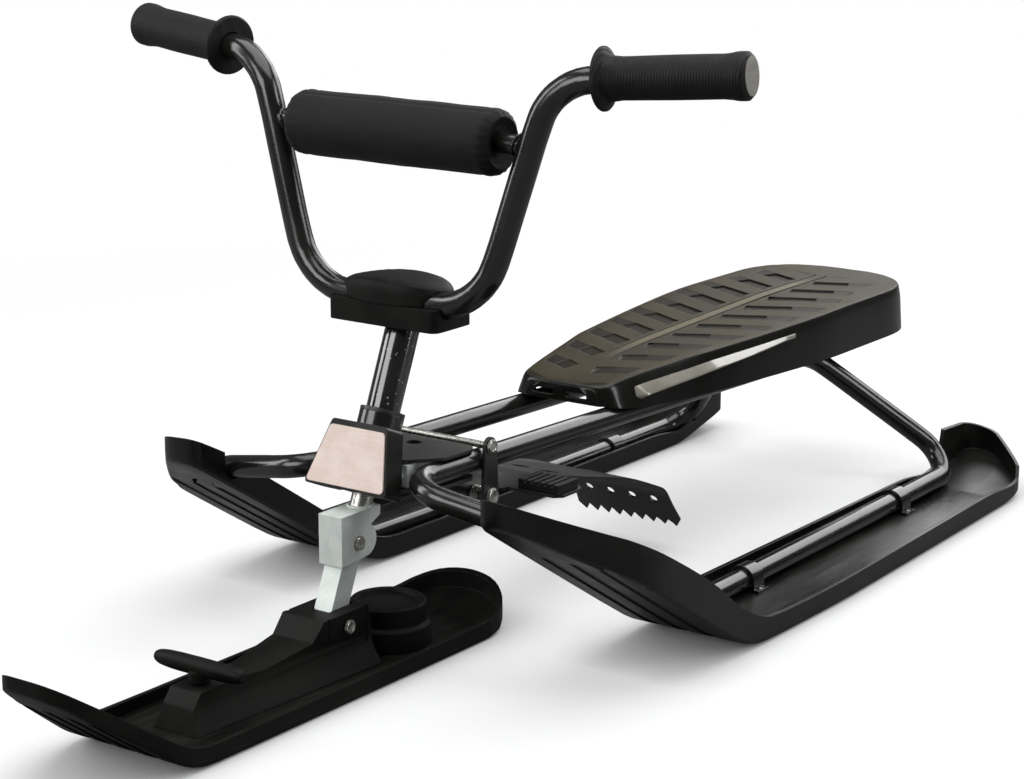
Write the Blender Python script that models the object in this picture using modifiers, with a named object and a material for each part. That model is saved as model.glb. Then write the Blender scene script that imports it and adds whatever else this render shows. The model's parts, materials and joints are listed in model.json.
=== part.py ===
"""Steering sled: three ribbed skis, a bent tube frame, a seat, a raked handlebar and a foot brake.

The sled stands on z = 0 with its nose towards -Y and its left side towards +X. Lengths are metres.
The origin lies on the ground, below the middle of the sled.
"""

import math

import bmesh
import bpy
from mathutils import Matrix, Vector

# Fits
CLEARANCE = 0.0003
RUNNING_CLEARANCE = 0.0004

# Frame tubes, one bent loop on each side
TUBE_RADIUS = 0.0102
RAIL_X = 0.045
RAIL_FRONT_Y = -0.225
RAIL_FRONT_Z = 0.157
RAIL_REAR_Y = 0.437
RAIL_DROP = math.radians(1.6)
HEAD_BEND_RADIUS = 0.035
KNEE_X = 0.168
KNEE_Y = -0.205
KNEE_BEND_RADIUS = 0.030
LEG_TOP_BEND_RADIUS = 0.045
LEG_FOOT_X = 0.163
LEG_FOOT_Y = 0.548
LEG_FOOT_BEND_RADIUS = 0.030
RUN_FRONT_X = 0.174

# Rear skis
REAR_SKI_INNER_X = 0.144
REAR_SKI_WIDTH = 0.110
REAR_SKI_TIP_Y = -0.257
REAR_SKI_TIP_WIDTH = 0.036
REAR_SKI_TIP_CUT = 0.085
REAR_SKI_TAPER_Y = 0.150
REAR_SKI_TAPER = 0.016
REAR_SKI_TAIL_Y = 0.595
REAR_SKI_TAIL_WIDTH = 0.034
REAR_SKI_TAIL_CUT = 0.060
REAR_SKI_FLOOR = 0.0045
REAR_SKI_WALL = 0.0035
REAR_SKI_NOSE_START_Y = 0.020
REAR_SKI_NOSE_RADIUS = 0.140
REAR_SKI_NOSE_ANGLE = math.radians(32)
REAR_SKI_TAIL_START_Y = 0.490
REAR_SKI_TAIL_RADIUS = 0.150
REAR_SKI_TAIL_ANGLE = math.radians(13)
REAR_SKI_GROOVE_COUNT = 3
REAR_SKI_GROOVE_WIDTH = 0.012
GROOVE_DEPTH = 0.0015

# Front ski
FRONT_SKI_HALF_WIDTH = 0.060
FRONT_SKI_TIP_Y = -0.598
FRONT_SKI_TAIL_Y = -0.067
FRONT_SKI_FLOOR = 0.005
FRONT_SKI_WALL = 0.004
FRONT_SKI_NOSE_START_Y = -0.460
FRONT_SKI_NOSE_RADIUS = 0.080
FRONT_SKI_NOSE_ANGLE = math.radians(36)
FRONT_SKI_TAIL_START_Y = -0.120
FRONT_SKI_TAIL_RADIUS = 0.080
FRONT_SKI_TAIL_ANGLE = math.radians(25)

# Steering axis and head
RAKE = math.radians(23)
HEAD_Y = -0.2026
HEAD_Z = 0.168
HEAD_TUBE_OUTER_RADIUS = 0.019
HEAD_TUBE_INNER_RADIUS = 0.0155
HEAD_TUBE_BOTTOM = -0.024
HEAD_TUBE_TOP = 0.036
BUSH_FLANGE = 0.003
BUSH_LENGTH = 0.012
SPINDLE_RADIUS = 0.009
SPINDLE_TOP = 0.100
COLUMN_RADIUS = 0.0145
COLLAR_RADIUS = 0.0135
COLLAR_THICKNESS = 0.004
GUSSET_THICKNESS = 0.003
GUSSET_FRONT_Y = -0.201
GUSSET_REAR_Y = -0.126
GUSSET_OVERHANG = 0.007
SHIELD_FRONT = 0.026
SHIELD_DEPTH = 0.022
SHIELD_WALL = 0.0025
SHIELD_TOP = 0.024
SHIELD_BOTTOM = -0.032
SHIELD_TOP_HALF_WIDTH = 0.0285
SHIELD_BOTTOM_HALF_WIDTH = 0.0425
PLATE_THICKNESS = 0.0012
PLATE_MARGIN = 0.0018
PLATE_TOP_MARGIN = 0.005

LUG_Y = -0.1935
LUG_DEPTH = 0.014
LUG_LOW_Z = 0.1465
LUG_HIGH_Z = 0.1655
LUG_KNOB_RADIUS = 0.0042
LUG_KNOB_REACH = 0.010

# Handlebar
BAR_RADIUS = 0.01125
BAR_CENTRE_Y = -0.172
BAR_CENTRE_Z = 0.2938
BAR_LOWER_X = 0.0892
BAR_UPPER_X = 0.1467
BAR_UPPER_Y = -0.1587
BAR_UPPER_Z = 0.4824
BAR_END_X = 0.303
BAR_SWEEP = math.radians(10.8)
BAR_RISE = math.radians(4.2)
BAR_LOWER_BEND_RADIUS = 0.062
BAR_UPPER_BEND_RADIUS = 0.054
CROSSBAR_RADIUS = 0.008
CROSSBAR_Z = 0.430
PAD_RADIUS = 0.0275
PAD_LENGTH = 0.206
GRIP_LENGTH = 0.122
GRIP_RADIUS = 0.0170
GRIP_FLANGE_RADIUS = 0.0255
GRIP_FLANGE_THICKNESS = 0.005
GRIP_BEAD_RADIUS = 0.0190
GRIP_END_WALL = 0.004
CLAMP_Y = -0.164
CLAMP_HALF_LENGTH = 0.056
CLAMP_HALF_DEPTH = 0.026
CLAMP_BASE_Z = 0.275
COVER_HALF_LENGTH = 0.053
COVER_HALF_DEPTH = 0.029
COVER_TOP_Z = 0.314
COVER_FALL = 0.007
CLAMP_BOLT_RADIUS = 0.0025

# Fork below the head
FORK_TOP_Z = 0.131
FORK_BOTTOM_Z = 0.089
FORK_FRONT_Y = -0.257
FORK_REAR_Y = -0.2075
FORK_HALF_WIDTH = 0.012
FORK_WALL = 0.0027
FORK_BOLT_Y = -0.2357
FORK_BOLT_Z = 0.105
FORK_BOLT_RADIUS = 0.003
LEG_HALF_DEPTH = 0.010
LEG_WALL = 0.0027
LEG_TOP_Z = 0.120
PIVOT_Y = -0.262
PIVOT_Z = 0.043
PIVOT_BOLT_RADIUS = 0.003

# Mast housing, tow handle and rope reel on the front ski
MAST_HALF_WIDTH = 0.022
MAST_BASE_HALF_WIDTH = 0.032
MAST_TOP_Z = 0.0555
MAST_REAR_Y = -0.2325
MAST_SWING_CLEARANCE = 0.0042
HANDLE_Y = -0.415
MAST_FRONT_Y = HANDLE_Y - 0.030
SOCKET_TOP_Z = 0.036
HANDLE_LENGTH = 0.090
HANDLE_RADIUS = 0.0075
HANDLE_Z = 0.050
STALK_RADIUS = 0.005
STALK_DEPTH = 0.016
REEL_Y = -0.184
REEL_RADIUS = 0.033
REEL_BASE_RADIUS = 0.038
REEL_TOP_Z = 0.042
REEL_STEP_Z = 0.025
REEL_WALL = 0.003
DRUM_RADIUS = 0.022

# Seat
SEAT_FRONT_Y = 0.066
SEAT_REAR_Y = 0.598
SEAT_WALL = 0.004
SEAT_BLANK_HEIGHT = 0.040
SEAT_RIB_COUNT = 10
SEAT_RIB_PITCH = 0.0445
SEAT_RIB_WIDTH = 0.017
SEAT_RIB_DEPTH = 0.0016
SEAT_RIB_ANGLE = math.radians(24)
BOSS_RADIUS = 0.007
BOSS_X = 0.020
BRACKET_FRONT_Y = 0.130
BRACKET_REAR_Y = 0.330
BRACKET_WIDTH = 0.034
BRACKET_THICKNESS = 0.003
SEAT_SCREW_RADIUS = 0.002

# Foot brake
AXLE_Y = -0.118
AXLE_Z = 0.124
AXLE_RADIUS = 0.004
HANGER_THICKNESS = 0.003
HANGER_HALF_WIDTH = 0.011
HANGER_BOLT_RADIUS = 0.003
SLEEVE_RADIUS = 0.007
SLEEVE_HALF_LENGTH = 0.038
BRAKE_THICKNESS = 0.0025
BRAKE_HALF_WIDTH = 0.054
TOOTH_COUNT = 9
TOOTH_DEPTH = 0.009
WING_HALF_WIDTH = 0.107
WING_FRONT = 0.024
WING_REAR = 0.066
PEDAL_HEIGHT = 0.008
SPRING_WIRE_RADIUS = 0.001
SPRING_RADIUS = 0.0065
SPRING_TURNS = 3.5
SPRING_PITCH = 0.0026
SPRING_LEG = 0.034

# Tube saddles on the rear skis
SADDLE_THICKNESS = 0.0025
SADDLE_LENGTH = 0.018
SADDLE_FOOT = 0.0046
SADDLE_PLACES = {"front": 0.110, "rear": 0.400}

COLLECTION_NAME = "steering_sled"
BLACK_PAINT = ("black_paint", (0.020, 0.020, 0.019), 0.30, 0.0)
BLACK_PLASTIC = ("black_plastic", (0.022, 0.022, 0.020), 0.42, 0.0)
SEAT_PLASTIC = ("seat_plastic", (0.045, 0.043, 0.037), 0.45, 0.0)
GRIP_RUBBER = ("grip_rubber", (0.018, 0.018, 0.018), 0.70, 0.0)
PAD_FOAM = ("pad_foam", (0.016, 0.016, 0.016), 0.85, 0.0)
ZINC = ("zinc_plate", (0.62, 0.66, 0.64), 0.32, 1.0)
STEEL = ("bright_steel", (0.55, 0.55, 0.54), 0.28, 1.0)
PLATE_BEIGE = ("plate_beige", (0.56, 0.46, 0.42), 0.40, 0.0)
BUSH_NYLON = ("bush_nylon", (0.60, 0.60, 0.57), 0.50, 0.0)


def clear_scene():
    """Remove every object, so that the model starts from nothing."""
    for obj in list(bpy.data.objects):
        bpy.data.objects.remove(obj, do_unlink=True)


def new_collection(name):
    """Return a new collection under the scene."""
    collection = bpy.data.collections.new(name)
    bpy.context.scene.collection.children.link(collection)
    return collection


def surface(spec):
    """Return the material of a finish, made once."""
    name, colour, roughness, metallic = spec
    found = bpy.data.materials.get(name)
    if found:
        return found
    made = bpy.data.materials.new(name)
    made.use_nodes = True
    shader = made.node_tree.nodes["Principled BSDF"]
    shader.inputs["Base Color"].default_value = (*colour, 1.0)
    shader.inputs["Roughness"].default_value = roughness
    shader.inputs["Metallic"].default_value = metallic
    made.diffuse_color = (*colour, 1.0)
    return made


def place_mesh(name, mesh):
    """Link a mesh into the sled's collection as a named object."""
    obj = bpy.data.objects.new(name, mesh)
    bpy.data.collections[COLLECTION_NAME].objects.link(obj)
    return obj


def baked(obj):
    """Replace an object by a plain mesh of what its curve or modifiers make."""
    bpy.context.view_layer.update()
    graph = bpy.context.evaluated_depsgraph_get()
    mesh = bpy.data.meshes.new_from_object(obj.evaluated_get(graph))
    name = obj.name
    matrix = obj.matrix_world.copy()
    bpy.data.objects.remove(obj, do_unlink=True)
    edit = bmesh.new()
    edit.from_mesh(mesh)
    bmesh.ops.remove_doubles(edit, verts=edit.verts, dist=1e-6)
    bmesh.ops.recalc_face_normals(edit, faces=edit.faces)
    edit.to_mesh(mesh)
    edit.free()
    made = place_mesh(name, mesh)
    made.matrix_world = matrix
    return made


def box(name, size, centre):
    """Return a box of the given size about a centre."""
    edit = bmesh.new()
    bmesh.ops.create_cube(edit, size=1.0)
    bmesh.ops.scale(edit, vec=size, verts=edit.verts)
    mesh = bpy.data.meshes.new(name)
    edit.to_mesh(mesh)
    edit.free()
    obj = place_mesh(name, mesh)
    obj.location = centre
    return obj


def rod(name, radius, start, end, segments=20):
    """Return a round bar between two points."""
    start = Vector(start)
    end = Vector(end)
    edit = bmesh.new()
    bmesh.ops.create_cone(
        edit,
        cap_ends=True,
        segments=segments,
        radius1=radius,
        radius2=radius,
        depth=(end - start).length,
    )
    mesh = bpy.data.meshes.new(name)
    edit.to_mesh(mesh)
    edit.free()
    obj = place_mesh(name, mesh)
    obj.rotation_mode = "QUATERNION"
    obj.rotation_quaternion = (end - start).to_track_quat("Z", "Y")
    obj.location = (start + end) / 2
    return obj


def turned(name, profile, steps=20):
    """Return a turned piece about its own Z; the profile runs down its outer side."""
    mesh = bpy.data.meshes.new(name)
    points = [(radius, 0.0, height) for radius, height in profile]
    edges = [(index, index + 1) for index in range(len(points) - 1)]
    if profile[0][0] > 0.0:
        edges.append((len(points) - 1, 0))
    mesh.from_pydata(points, edges, [])
    obj = place_mesh(name, mesh)
    screw = obj.modifiers.new("turn", "SCREW")
    screw.steps = steps
    screw.render_steps = steps
    screw.use_merge_vertices = True
    screw.merge_threshold = 0.00001
    return baked(obj)


def ring(name, inner, outer, bottom, top, steps=20):
    """Return a straight bush or sleeve about its own Z."""
    return turned(name, [(outer, top), (outer, bottom), (inner, bottom), (inner, top)], steps)


def rounded_path(corners, closed=False, step=math.radians(16)):
    """Return the points of a path whose corners, given as (point, bend radius), are rounded."""
    points = []
    count = len(corners)
    for index, (corner, radius) in enumerate(corners):
        corner = Vector(corner)
        if radius == 0.0 or (not closed and index in (0, count - 1)):
            points.append(corner)
            continue
        before = (Vector(corners[index - 1][0]) - corner).normalized()
        after = (Vector(corners[(index + 1) % count][0]) - corner).normalized()
        half = before.angle(after) / 2
        middle = corner + (before + after).normalized() * radius / math.sin(half)
        reach = radius / math.tan(half)
        start = corner + before * reach - middle
        finish = corner + after * reach - middle
        turn = math.pi - 2 * half
        steps = max(1, math.ceil(turn / step))
        for number in range(steps + 1):
            share = number / steps
            arm = start * math.sin((1 - share) * turn) + finish * math.sin(share * turn)
            points.append(middle + arm / math.sin(turn))
    return points


def tube(name, points, radius, closed=False, resolution=4):
    """Return a round tube or wire along a list of points."""
    curve = bpy.data.curves.new(name, "CURVE")
    curve.dimensions = "3D"
    curve.bevel_depth = radius
    curve.bevel_resolution = resolution
    curve.use_fill_caps = not closed
    spline = curve.splines.new("POLY")
    spline.points.add(len(points) - 1)
    for target, point in zip(spline.points, points):
        target.co = (*point, 1.0)
    spline.use_cyclic_u = closed
    return baked(place_mesh(name, curve))


def flat_solid(name, outlines, thickness):
    """Return a plate between z = 0 and its thickness; outlines after the first are holes."""
    curve = bpy.data.curves.new(name, "CURVE")
    curve.dimensions = "2D"
    curve.fill_mode = "BOTH"
    curve.extrude = thickness / 2
    for outline in outlines:
        spline = curve.splines.new("POLY")
        spline.points.add(len(outline) - 1)
        for target, point in zip(spline.points, outline):
            target.co = (point[0], point[1], 0.0, 1.0)
        spline.use_cyclic_u = True
    obj = baked(place_mesh(name, curve))
    obj.data.transform(Matrix.Translation((0.0, 0.0, thickness / 2)))
    return obj


def circle(x, y, radius, count=14):
    """Return the points of a circle in the flat."""
    turns = [2 * math.pi * (number + 0.5) / count for number in range(count)]
    return [(x + radius * math.cos(turn), y + radius * math.sin(turn)) for turn in turns]


def flat_outline(corners, step=math.radians(18)):
    """Return a closed rounded outline in the flat; corners are (x, y, radius)."""
    return rounded_path([((x, y, 0.0), radius) for x, y, radius in corners], True, step)


def inset(corners, wall):
    """Return the corners of a convex outline moved in by a wall, with their radii lessened."""
    moved = []
    count = len(corners)
    for index, (x, y, radius) in enumerate(corners):
        corner = Vector((x, y))
        before = (Vector(corners[index - 1][:2]) - corner).normalized()
        after = (Vector(corners[(index + 1) % count][:2]) - corner).normalized()
        half = before.angle(after) / 2
        inner = corner + (before + after).normalized() * wall / math.sin(half)
        moved.append((inner.x, inner.y, max(radius - wall, wall / 4)))
    return moved


def side_solid(name, outline, half_width):
    """Return a solid with a side outline in (y, z), reaching as far to the left as to the right."""
    obj = flat_solid(name, [outline], 2 * half_width)
    turn = Matrix(((0, 0, 1, -half_width), (1, 0, 0, 0), (0, 1, 0, 0), (0, 0, 0, 1)))
    obj.data.transform(turn)
    return obj


def combine(target, tools, operation):
    """Apply a Boolean of each tool to the target in turn, and remove the tools."""
    for tool in tools:
        tool.hide_render = True
        tool.display_type = "WIRE"
        change = target.modifiers.new("shape", "BOOLEAN")
        change.operation = operation
        change.object = tool
        change.solver = "EXACT"
        target = baked(target)
        bpy.data.objects.remove(tool, do_unlink=True)
    return target


def cut(target, *tools):
    """Return the target less its tools."""
    return combine(target, tools, "DIFFERENCE")


def join(target, *tools):
    """Return the target fused with its tools."""
    return combine(target, tools, "UNION")


def bevelled(obj, width, segments, pick):
    """Bevel the edges whose two ends both satisfy a test, in the mesh's own coordinates."""
    edit = bmesh.new()
    edit.from_mesh(obj.data)
    bmesh.ops.dissolve_limit(
        edit, angle_limit=math.radians(1), verts=edit.verts, edges=edit.edges
    )
    chosen = [
        edge
        for edge in edit.edges
        if all(pick(vertex.co) for vertex in edge.verts)
        and len(edge.link_faces) == 2
        and edge.calc_face_angle() > math.radians(30)
    ]
    bmesh.ops.bevel(
        edit, geom=chosen, offset=width, segments=segments, profile=0.5, affect="EDGES"
    )
    edit.to_mesh(obj.data)
    edit.free()
    return obj


def sliced(obj, stations, normal=(0.0, 1.0, 0.0)):
    """Add edges round a mesh where planes at the stations cross it."""
    edit = bmesh.new()
    edit.from_mesh(obj.data)
    direction = Vector(normal)
    for station in stations:
        bmesh.ops.bisect_plane(
            edit,
            geom=edit.verts[:] + edit.edges[:] + edit.faces[:],
            dist=1e-7,
            plane_co=direction * station,
            plane_no=direction,
        )
    bmesh.ops.triangulate(edit, faces=edit.faces)
    edit.to_mesh(obj.data)
    edit.free()
    return obj


def reshaped(obj, place):
    """Move each vertex of a mesh to the place that a function gives for it."""
    for vertex in obj.data.vertices:
        vertex.co = place(vertex.co.copy())
    return obj


def between(value, table):
    """Read a value from a short table of (place, value), straight between its rows."""
    if value <= table[0][0]:
        return table[0][1]
    for (low, first), (high, second) in zip(table, table[1:]):
        if value <= high:
            return first + (second - first) * (value - low) / (high - low)
    return table[-1][1]


def dressed(obj, spec, angle=math.radians(35)):
    """Give an object its finish and smooth shading between sharp edges."""
    obj.data.materials.clear()
    obj.data.materials.append(surface(spec))
    obj.data.shade_smooth()
    obj.data.set_sharp_from_angle(angle=angle)
    return obj


def pivot_empty(name, location, rake=0.0):
    """Return an empty on a joint's axis."""
    empty = bpy.data.objects.new(name, None)
    empty.empty_display_size = 0.05
    empty.location = location
    empty.rotation_euler = (-rake, 0.0, 0.0)
    bpy.data.collections[COLLECTION_NAME].objects.link(empty)
    return empty


def hang(pieces, empty):
    """Parent pieces to an empty where they already stand."""
    bpy.context.view_layer.update()
    for piece in pieces:
        matrix = piece.matrix_world.copy()
        piece.parent = empty
        piece.matrix_world = matrix


def on_axis(obj):
    """Stand a piece that was turned about its own Z on the steering axis."""
    obj.rotation_euler = (-RAKE, 0.0, 0.0)
    obj.location = (0.0, HEAD_Y, HEAD_Z)
    return obj


def axis_point(height):
    """Return the point of the steering axis at a height above the ground."""
    return Vector((0.0, HEAD_Y + (height - HEAD_Z) * math.tan(RAKE), height))


def rail_z(y):
    """Return the height of the rails' centre line at a place along the sled."""
    return RAIL_FRONT_Z - (y - RAIL_FRONT_Y) * math.tan(RAIL_DROP)


def curved_base(y, start, radius, angle, outward):
    """Return how far a ski's end has risen at y, along an arc and then a straight slope."""
    run = (y - start) * outward
    if run <= 0.0:
        return 0.0
    arc_run = radius * math.sin(angle)
    if run <= arc_run:
        return radius - math.sqrt(radius * radius - run * run)
    return radius * (1 - math.cos(angle)) + (run - arc_run) * math.tan(angle)


def rear_ski_base(y):
    """Return the height of a rear ski's underside at y."""
    nose = curved_base(y, REAR_SKI_NOSE_START_Y, REAR_SKI_NOSE_RADIUS, REAR_SKI_NOSE_ANGLE, -1)
    tail = curved_base(y, REAR_SKI_TAIL_START_Y, REAR_SKI_TAIL_RADIUS, REAR_SKI_TAIL_ANGLE, 1)
    return nose + tail


def front_ski_base(y):
    """Return the height of the front ski's underside at y."""
    nose = curved_base(y, FRONT_SKI_NOSE_START_Y, FRONT_SKI_NOSE_RADIUS, FRONT_SKI_NOSE_ANGLE, -1)
    tail = curved_base(y, FRONT_SKI_TAIL_START_Y, FRONT_SKI_TAIL_RADIUS, FRONT_SKI_TAIL_ANGLE, 1)
    return nose + tail


def arc_stations(start, radius, angle, outward, count):
    """Return the places along a ski where its end's arc is cut into straight facets."""
    turns = [angle * number / count for number in range(count + 1)]
    return [start + outward * radius * math.sin(turn) for turn in turns]


RUN_Z = REAR_SKI_FLOOR + CLEARANCE + TUBE_RADIUS
RUN_RISE_Y = REAR_SKI_NOSE_START_Y - (REAR_SKI_NOSE_RADIUS - RUN_Z) * math.tan(REAR_SKI_NOSE_ANGLE / 2)
KNEE_Z = RUN_Z + (RUN_RISE_Y - KNEE_Y) * math.tan(REAR_SKI_NOSE_ANGLE)
HANGER_X = RAIL_X + TUBE_RADIUS + CLEARANCE
SIDES = {"left": 1, "right": -1}


def run_x(y):
    """Return how far out the tube lies in a rear ski at y."""
    share = (y - RUN_RISE_Y) / (LEG_FOOT_Y - RUN_RISE_Y)
    return RUN_FRONT_X + (LEG_FOOT_X - RUN_FRONT_X) * share


def frame_corners(side):
    """Return the corners and bend radii of one side's tube, from the head round to the knee."""
    return [
        ((side * RAIL_X, RAIL_FRONT_Y, RAIL_FRONT_Z), HEAD_BEND_RADIUS),
        ((side * RAIL_X, RAIL_REAR_Y, rail_z(RAIL_REAR_Y)), LEG_TOP_BEND_RADIUS),
        ((side * LEG_FOOT_X, LEG_FOOT_Y, RUN_Z), LEG_FOOT_BEND_RADIUS),
        ((side * RUN_FRONT_X, RUN_RISE_Y, RUN_Z), REAR_SKI_NOSE_RADIUS - RUN_Z),
        ((side * KNEE_X, KNEE_Y, KNEE_Z), KNEE_BEND_RADIUS),
    ]


def make_frame_tubes():
    """Each side's tube: rail under the seat, leg, run along the ski, and back up to the head."""
    for word, side in SIDES.items():
        path = rounded_path(frame_corners(side), closed=True)
        dressed(tube("frame_tube_" + word, path, TUBE_RADIUS, closed=True), BLACK_PAINT)


def rear_ski_corners(side):
    """Return a rear ski's outline: straight inside, cut back outside at the tip and the tail."""
    outer = REAR_SKI_INNER_X + REAR_SKI_WIDTH
    corners = [
        (REAR_SKI_INNER_X, REAR_SKI_TIP_Y, 0.012),
        (REAR_SKI_INNER_X + REAR_SKI_TIP_WIDTH, REAR_SKI_TIP_Y, 0.030),
        (outer, REAR_SKI_TIP_Y + REAR_SKI_TIP_CUT, 0.060),
        (outer, REAR_SKI_TAPER_Y, 0.500),
        (outer - REAR_SKI_TAPER, REAR_SKI_TAIL_Y - REAR_SKI_TAIL_CUT, 0.050),
        (REAR_SKI_INNER_X + REAR_SKI_TAIL_WIDTH, REAR_SKI_TAIL_Y, 0.034),
        (REAR_SKI_INNER_X, REAR_SKI_TAIL_Y, 0.015),
    ]
    corners = [(side * x, y, radius) for x, y, radius in corners]
    return corners if side > 0 else corners[::-1]


def ski_grooves(name, places, width, spans):
    """Return the cutters of a ski's long grooves, one at each place across and each span."""
    pieces = []
    for number, (x, (start, end)) in enumerate((x, span) for x in places for span in spans):
        size = (width, end - start, 2 * GROOVE_DEPTH)
        pieces.append(box(f"{name}_{number}", size, (x, (start + end) / 2, 0.0)))
    return pieces


def make_rear_ski(word, side):
    """A tray ski: ribbed underside, high outer wall in front, and a notch where the tube enters."""
    tip = REAR_SKI_TIP_Y
    bend = REAR_SKI_NOSE_START_Y
    tail = REAR_SKI_TAIL_Y
    inner_rim = [(tip, 0.019), (tip + 0.037, 0.023), (bend - 0.120, 0.021), (bend, 0.0155),
                 (tail - 0.135, 0.0155), (tail - 0.095, 0.010), (tail - 0.064, 0.010),
                 (tail - 0.056, 0.042), (tail, 0.026)]
    outer_rim = [(tip, 0.014), (tip + 0.070, 0.029), (bend - 0.120, 0.034), (bend - 0.090, 0.033),
                 (bend, 0.0150), (tail - 0.135, 0.0165), (tail - 0.064, 0.010), (tail, 0.012)]
    blank_rim = 0.020
    corners = rear_ski_corners(side)
    ski = flat_solid("rear_ski_" + word, [flat_outline(corners)], REAR_SKI_FLOOR + blank_rim)
    bevelled(ski, 0.003, 1, lambda point: point.z < 1e-6)
    pocket = flat_solid("pocket", [flat_outline(inset(corners, REAR_SKI_WALL))], 2 * blank_rim)
    pocket.location.z = REAR_SKI_FLOOR
    pitch = REAR_SKI_WIDTH / (REAR_SKI_GROOVE_COUNT + 1)
    places = [side * (REAR_SKI_INNER_X + pitch * (i + 1)) for i in range(REAR_SKI_GROOVE_COUNT)]
    spans = [(tip + 0.057, bend - 0.040), (bend + 0.010, REAR_SKI_TAIL_START_Y - 0.020)]
    ski = cut(ski, pocket, *ski_grooves("groove", places, REAR_SKI_GROOVE_WIDTH, spans))
    stations = [row[0] for row in inner_rim + outer_rim] + [RAIL_REAR_Y]
    stations += arc_stations(
        REAR_SKI_NOSE_START_Y, REAR_SKI_NOSE_RADIUS, REAR_SKI_NOSE_ANGLE, -1, 4
    )
    stations += arc_stations(
        REAR_SKI_TAIL_START_Y, REAR_SKI_TAIL_RADIUS, REAR_SKI_TAIL_ANGLE, 1, 3
    )
    sliced(ski, sorted(set(stations)))

    def place(point):
        across = (abs(point.x) - REAR_SKI_INNER_X) / REAR_SKI_WIDTH
        rim = between(point.y, inner_rim) * (1 - across) + between(point.y, outer_rim) * across
        above = max(0.0, point.z - REAR_SKI_FLOOR)
        height = min(point.z, REAR_SKI_FLOOR) + above * rim / blank_rim
        return Vector((point.x, point.y, height + rear_ski_base(point.y)))

    reshaped(ski, place)
    knee = Vector((side * KNEE_X, KNEE_Y, KNEE_Z))
    head = Vector((side * RAIL_X, RAIL_FRONT_Y, RAIL_FRONT_Z))
    along = (knee - head).normalized()
    mouth = head + along * ((REAR_SKI_INNER_X - RAIL_X) / abs(along.x))
    radius = TUBE_RADIUS + 0.0015
    notch = rod("notch", radius, mouth - along * 0.012, mouth + along * 0.012)
    slot = box("slot", (0.024, 2 * radius, 0.040), mouth + Vector((0.0, 0.0, 0.020)))
    reach = 2 * (REAR_SKI_FLOOR + 0.035)
    foot = [point for point in rounded_path(frame_corners(side), True)
            if point.y > LEG_FOOT_Y - reach and RUN_Z + 0.002 < point.z < reach]
    crossing = min(foot, key=lambda point: abs(abs(point.x) - REAR_SKI_INNER_X - REAR_SKI_WALL))
    leg_notch = tube("leg_notch", foot, radius)
    slot_height = 0.050
    leg_slot = box("leg_slot", (0.030, 2 * radius, slot_height), crossing + Vector((0.0, 0.0, slot_height / 2)))
    return dressed(cut(ski, notch, slot, leg_notch, leg_slot), BLACK_PLASTIC)


def make_saddle(word, place, side, y):
    """A strap over the tube with a domed screw head on each foot, standing in the ski."""
    inner = TUBE_RADIUS + CLEARANCE
    outer = inner + SADDLE_THICKNESS
    foot = outer + SADDLE_FOOT
    base = REAR_SKI_FLOOR + CLEARANCE
    top = base + SADDLE_THICKNESS
    centre = RUN_Z
    arch = [(outer * math.cos(a), centre + outer * math.sin(a))
            for a in (math.radians(15 * n) for n in range(13))]
    hollow = [(inner * math.cos(a), centre + inner * math.sin(a))
              for a in (math.radians(180 - 15 * n) for n in range(13))]
    outline = [(foot, base), (foot, top), (outer, top)] + arch + [(-outer, top), (-foot, top)]
    outline += [(-foot, base), (-inner, base)] + hollow + [(inner, base)]
    saddle = flat_solid(f"tube_saddle_{word}_{place}", [outline], SADDLE_LENGTH)
    saddle.data.transform(Matrix.Translation((0.0, 0.0, -SADDLE_LENGTH / 2)))
    saddle.data.transform(Matrix.Rotation(math.radians(90), 4, "X"))
    heads = []
    for sign in (-1, 1):
        x = sign * (outer + foot) / 2
        heads.append(rod("head", 0.0021, (x, 0.0, top - 0.001), (x, 0.0, top + 0.0015), 10))
    saddle = join(saddle, *heads)
    saddle.location = (side * run_x(y), y, 0.0)
    saddle.rotation_euler.z = -side * math.atan((LEG_FOOT_X - RUN_FRONT_X) / (LEG_FOOT_Y - RUN_RISE_Y))
    return dressed(saddle, BLACK_PAINT)


def make_seat_bracket(place, y):
    """A cross plate lying on both rails, slotted for the seat screws."""
    half = RAIL_X + TUBE_RADIUS
    corners = [(-half, -BRACKET_WIDTH / 2, 0.006), (half, -BRACKET_WIDTH / 2, 0.006),
               (half, BRACKET_WIDTH / 2, 0.006), (-half, BRACKET_WIDTH / 2, 0.006)]
    holes = [circle(sign * BOSS_X, 0.0, SEAT_SCREW_RADIUS + CLEARANCE) for sign in (-1, 1)]
    bracket = flat_solid("seat_bracket_" + place, [flat_outline(corners)] + holes, BRACKET_THICKNESS)
    bracket.location = (0.0, y, bracket_base(y))
    bracket.rotation_euler = (-RAIL_DROP, 0.0, 0.0)
    return dressed(bracket, BLACK_PAINT)


def bracket_base(y):
    """Return the height of a seat bracket's underside, just clear of the rails."""
    return rail_z(y) + (TUBE_RADIUS + CLEARANCE) / math.cos(RAIL_DROP)


def seat_corners():
    """Return the outline of the seat's lower edge."""
    half = [
        (0.054, SEAT_FRONT_Y, 0.024),
        (0.078, 0.190, 0.250),
        (0.096, 0.380, 0.300),
        (0.093, SEAT_REAR_Y, 0.072),
    ]
    return half + [(-x, y, radius) for x, y, radius in reversed(half)]


def deck_z(y):
    """Return the height of the seat's deck along the sled."""
    return between(y, [(SEAT_FRONT_Y, 0.178), (0.110, 0.184), (0.200, 0.190), (0.420, 0.196),
                       (SEAT_REAR_Y, 0.195)])


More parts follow.
